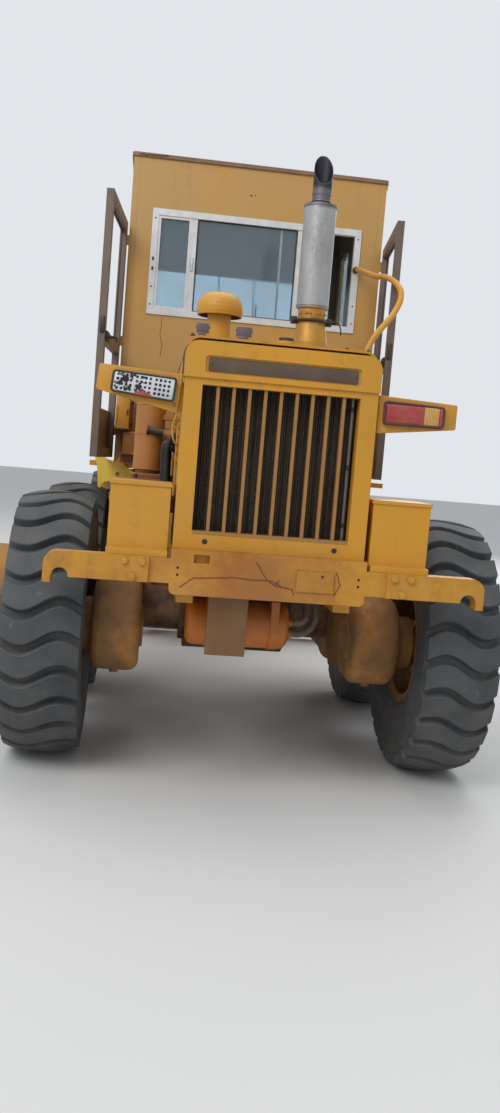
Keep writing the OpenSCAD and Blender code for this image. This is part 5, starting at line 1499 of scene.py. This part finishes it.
def make_frame_fittings():
    """Two steel lines along the front frame's left side, and their clamps."""
    shape = Shape()
    for z in LINE_HEIGHTS:
        path = [(LINE_SIDE - 0.016, LINE_START + 0.1 * k, z) for k in range(15)]
        shape.sweep(path, 0.010, 0, 10)
    for y in LINE_CLAMPS:
        shape.box((LINE_SIDE - 0.030, y, 1.618), (LINE_SIDE + 0.001, y + 0.040, 1.694), 1, 0.003)
    shape.piece("frame_oil_lines", "front_section", [STEEL, IRON])


# Stage

FLOOR_REACH = 60.0
SKY_LIGHT = 0.62
# Large soft lamps: name, place, what each is aimed at, size and power
LAMPS = [("soft_key", (-5.0, -9.5, 8.5), (0.0, -1.5, 1.4), 6.0, 560.0),
         ("soft_top", (1.0, 0.5, 11.0), (0.0, 0.0, 0.0), 9.0, 420.0),
         ("soft_front", (6.0, 9.0, 7.0), (0.0, 1.5, 1.0), 6.0, 420.0)]


def make_stage():
    """A plain pale floor, a soft world and large soft lamps."""
    mesh = bpy.data.meshes.new("floor")
    reach = FLOOR_REACH
    mesh.from_pydata([(-reach, -reach, 0), (reach, -reach, 0), (reach, reach, 0), (-reach, reach, 0)], [],
                     [(0, 1, 2, 3)])
    floor = bpy.data.objects.new("floor", mesh)
    bpy.context.scene.collection.objects.link(floor)
    net = Finish("pale floor")
    mesh.materials.append(net.give(base_color=rgb(214, 213, 210), roughness=0.9))
    world = bpy.data.worlds.new("soft sky")
    bpy.context.scene.world = world
    world.use_nodes = True
    sky = Net(world.node_tree)
    world.node_tree.nodes.clear()
    path = sky.node("ShaderNodeLightPath").outputs
    seen = sky.maths("MAXIMUM", path["Is Camera Ray"], sky.maths("MAXIMUM", path["Is Glossy Ray"],
                                                                 path["Is Transmission Ray"]))
    light = sky.node("ShaderNodeBackground", {"Color": rgb(236, 242, 250), "Strength": SKY_LIGHT}).outputs[0]
    view = sky.node("ShaderNodeBackground", {"Color": rgb(226, 230, 234), "Strength": 1.0}).outputs[0]
    both = sky.node("ShaderNodeMixShader", {0: seen, 1: light, 2: view}).outputs[0]
    sky.node("ShaderNodeOutputWorld", {"Surface": both})
    for name, at, aim, size, power in LAMPS:
        data = bpy.data.lights.new(name, "AREA")
        data.size = size
        data.energy = power
        lamp = bpy.data.objects.new(name, data)
        lamp.location = at
        lamp.rotation_euler = (Vector(aim) - Vector(at)).to_track_quat("-Z", "Y").to_euler()
        bpy.context.scene.collection.objects.link(lamp)
    bpy.context.scene.view_settings.view_transform = "Standard"


def make_camera():
    """The camera where the photograph was taken, with its lean."""
    ahead = Vector((math.sin(YAW) * math.cos(PITCH), math.cos(YAW) * math.cos(PITCH), -math.sin(PITCH)))
    level = Vector((math.cos(YAW), -math.sin(YAW), 0.0))
    upright = level.cross(ahead)
    right = math.cos(ROLL) * level + math.sin(ROLL) * upright
    top = math.cos(ROLL) * upright - math.sin(ROLL) * level
    data = bpy.data.cameras.new("camera")
    data.sensor_width = SENSOR
    data.lens = FOCAL_PIXELS * SENSOR / PHOTO_HEIGHT
    data.shift_x = (PHOTO_WIDTH / 2 - SIGHT_U) / PHOTO_HEIGHT
    camera = bpy.data.objects.new("camera", data)
    place = Matrix((right, top, -ahead)).transposed().to_4x4()
    place.translation = CAMERA_AT
    camera.matrix_world = place
    bpy.context.scene.collection.objects.link(camera)
    bpy.context.scene.camera = camera


def dress_cad():
    """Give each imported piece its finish."""
    for material, names in CAD_FINISHES.items():
        for name in names:
            slots = NODES[name].data.materials
            slots.clear()
            slots.append(material)


make_camera()
make_stage()
dress_cad()
for place in ("rear", "mid", "front"):
    for hand in ("left", "right"):
        make_tyre(place, hand)
        make_wheel_trim(place, hand)
make_broken_lamp()
make_red_lamp()
make_front_lamps()
make_name_recess()
make_hood_lip()
make_hood_fittings()
make_bumper_marks()
make_lid_latches()
make_radiator_fittings()
make_handrail()
make_precleaner_screen()
make_muffler_fittings()
make_torn_sheet()
make_air_cleaner_fittings()
make_left_lockers()
make_bay_shade_sheet()
make_front_header()
make_sash_edge()
make_window_fittings()
make_roof_flakes()
make_cab_marks()
make_door_fittings("left")
make_door_fittings("right")
make_seat()
make_blade_bolts()
make_frame_fittings()
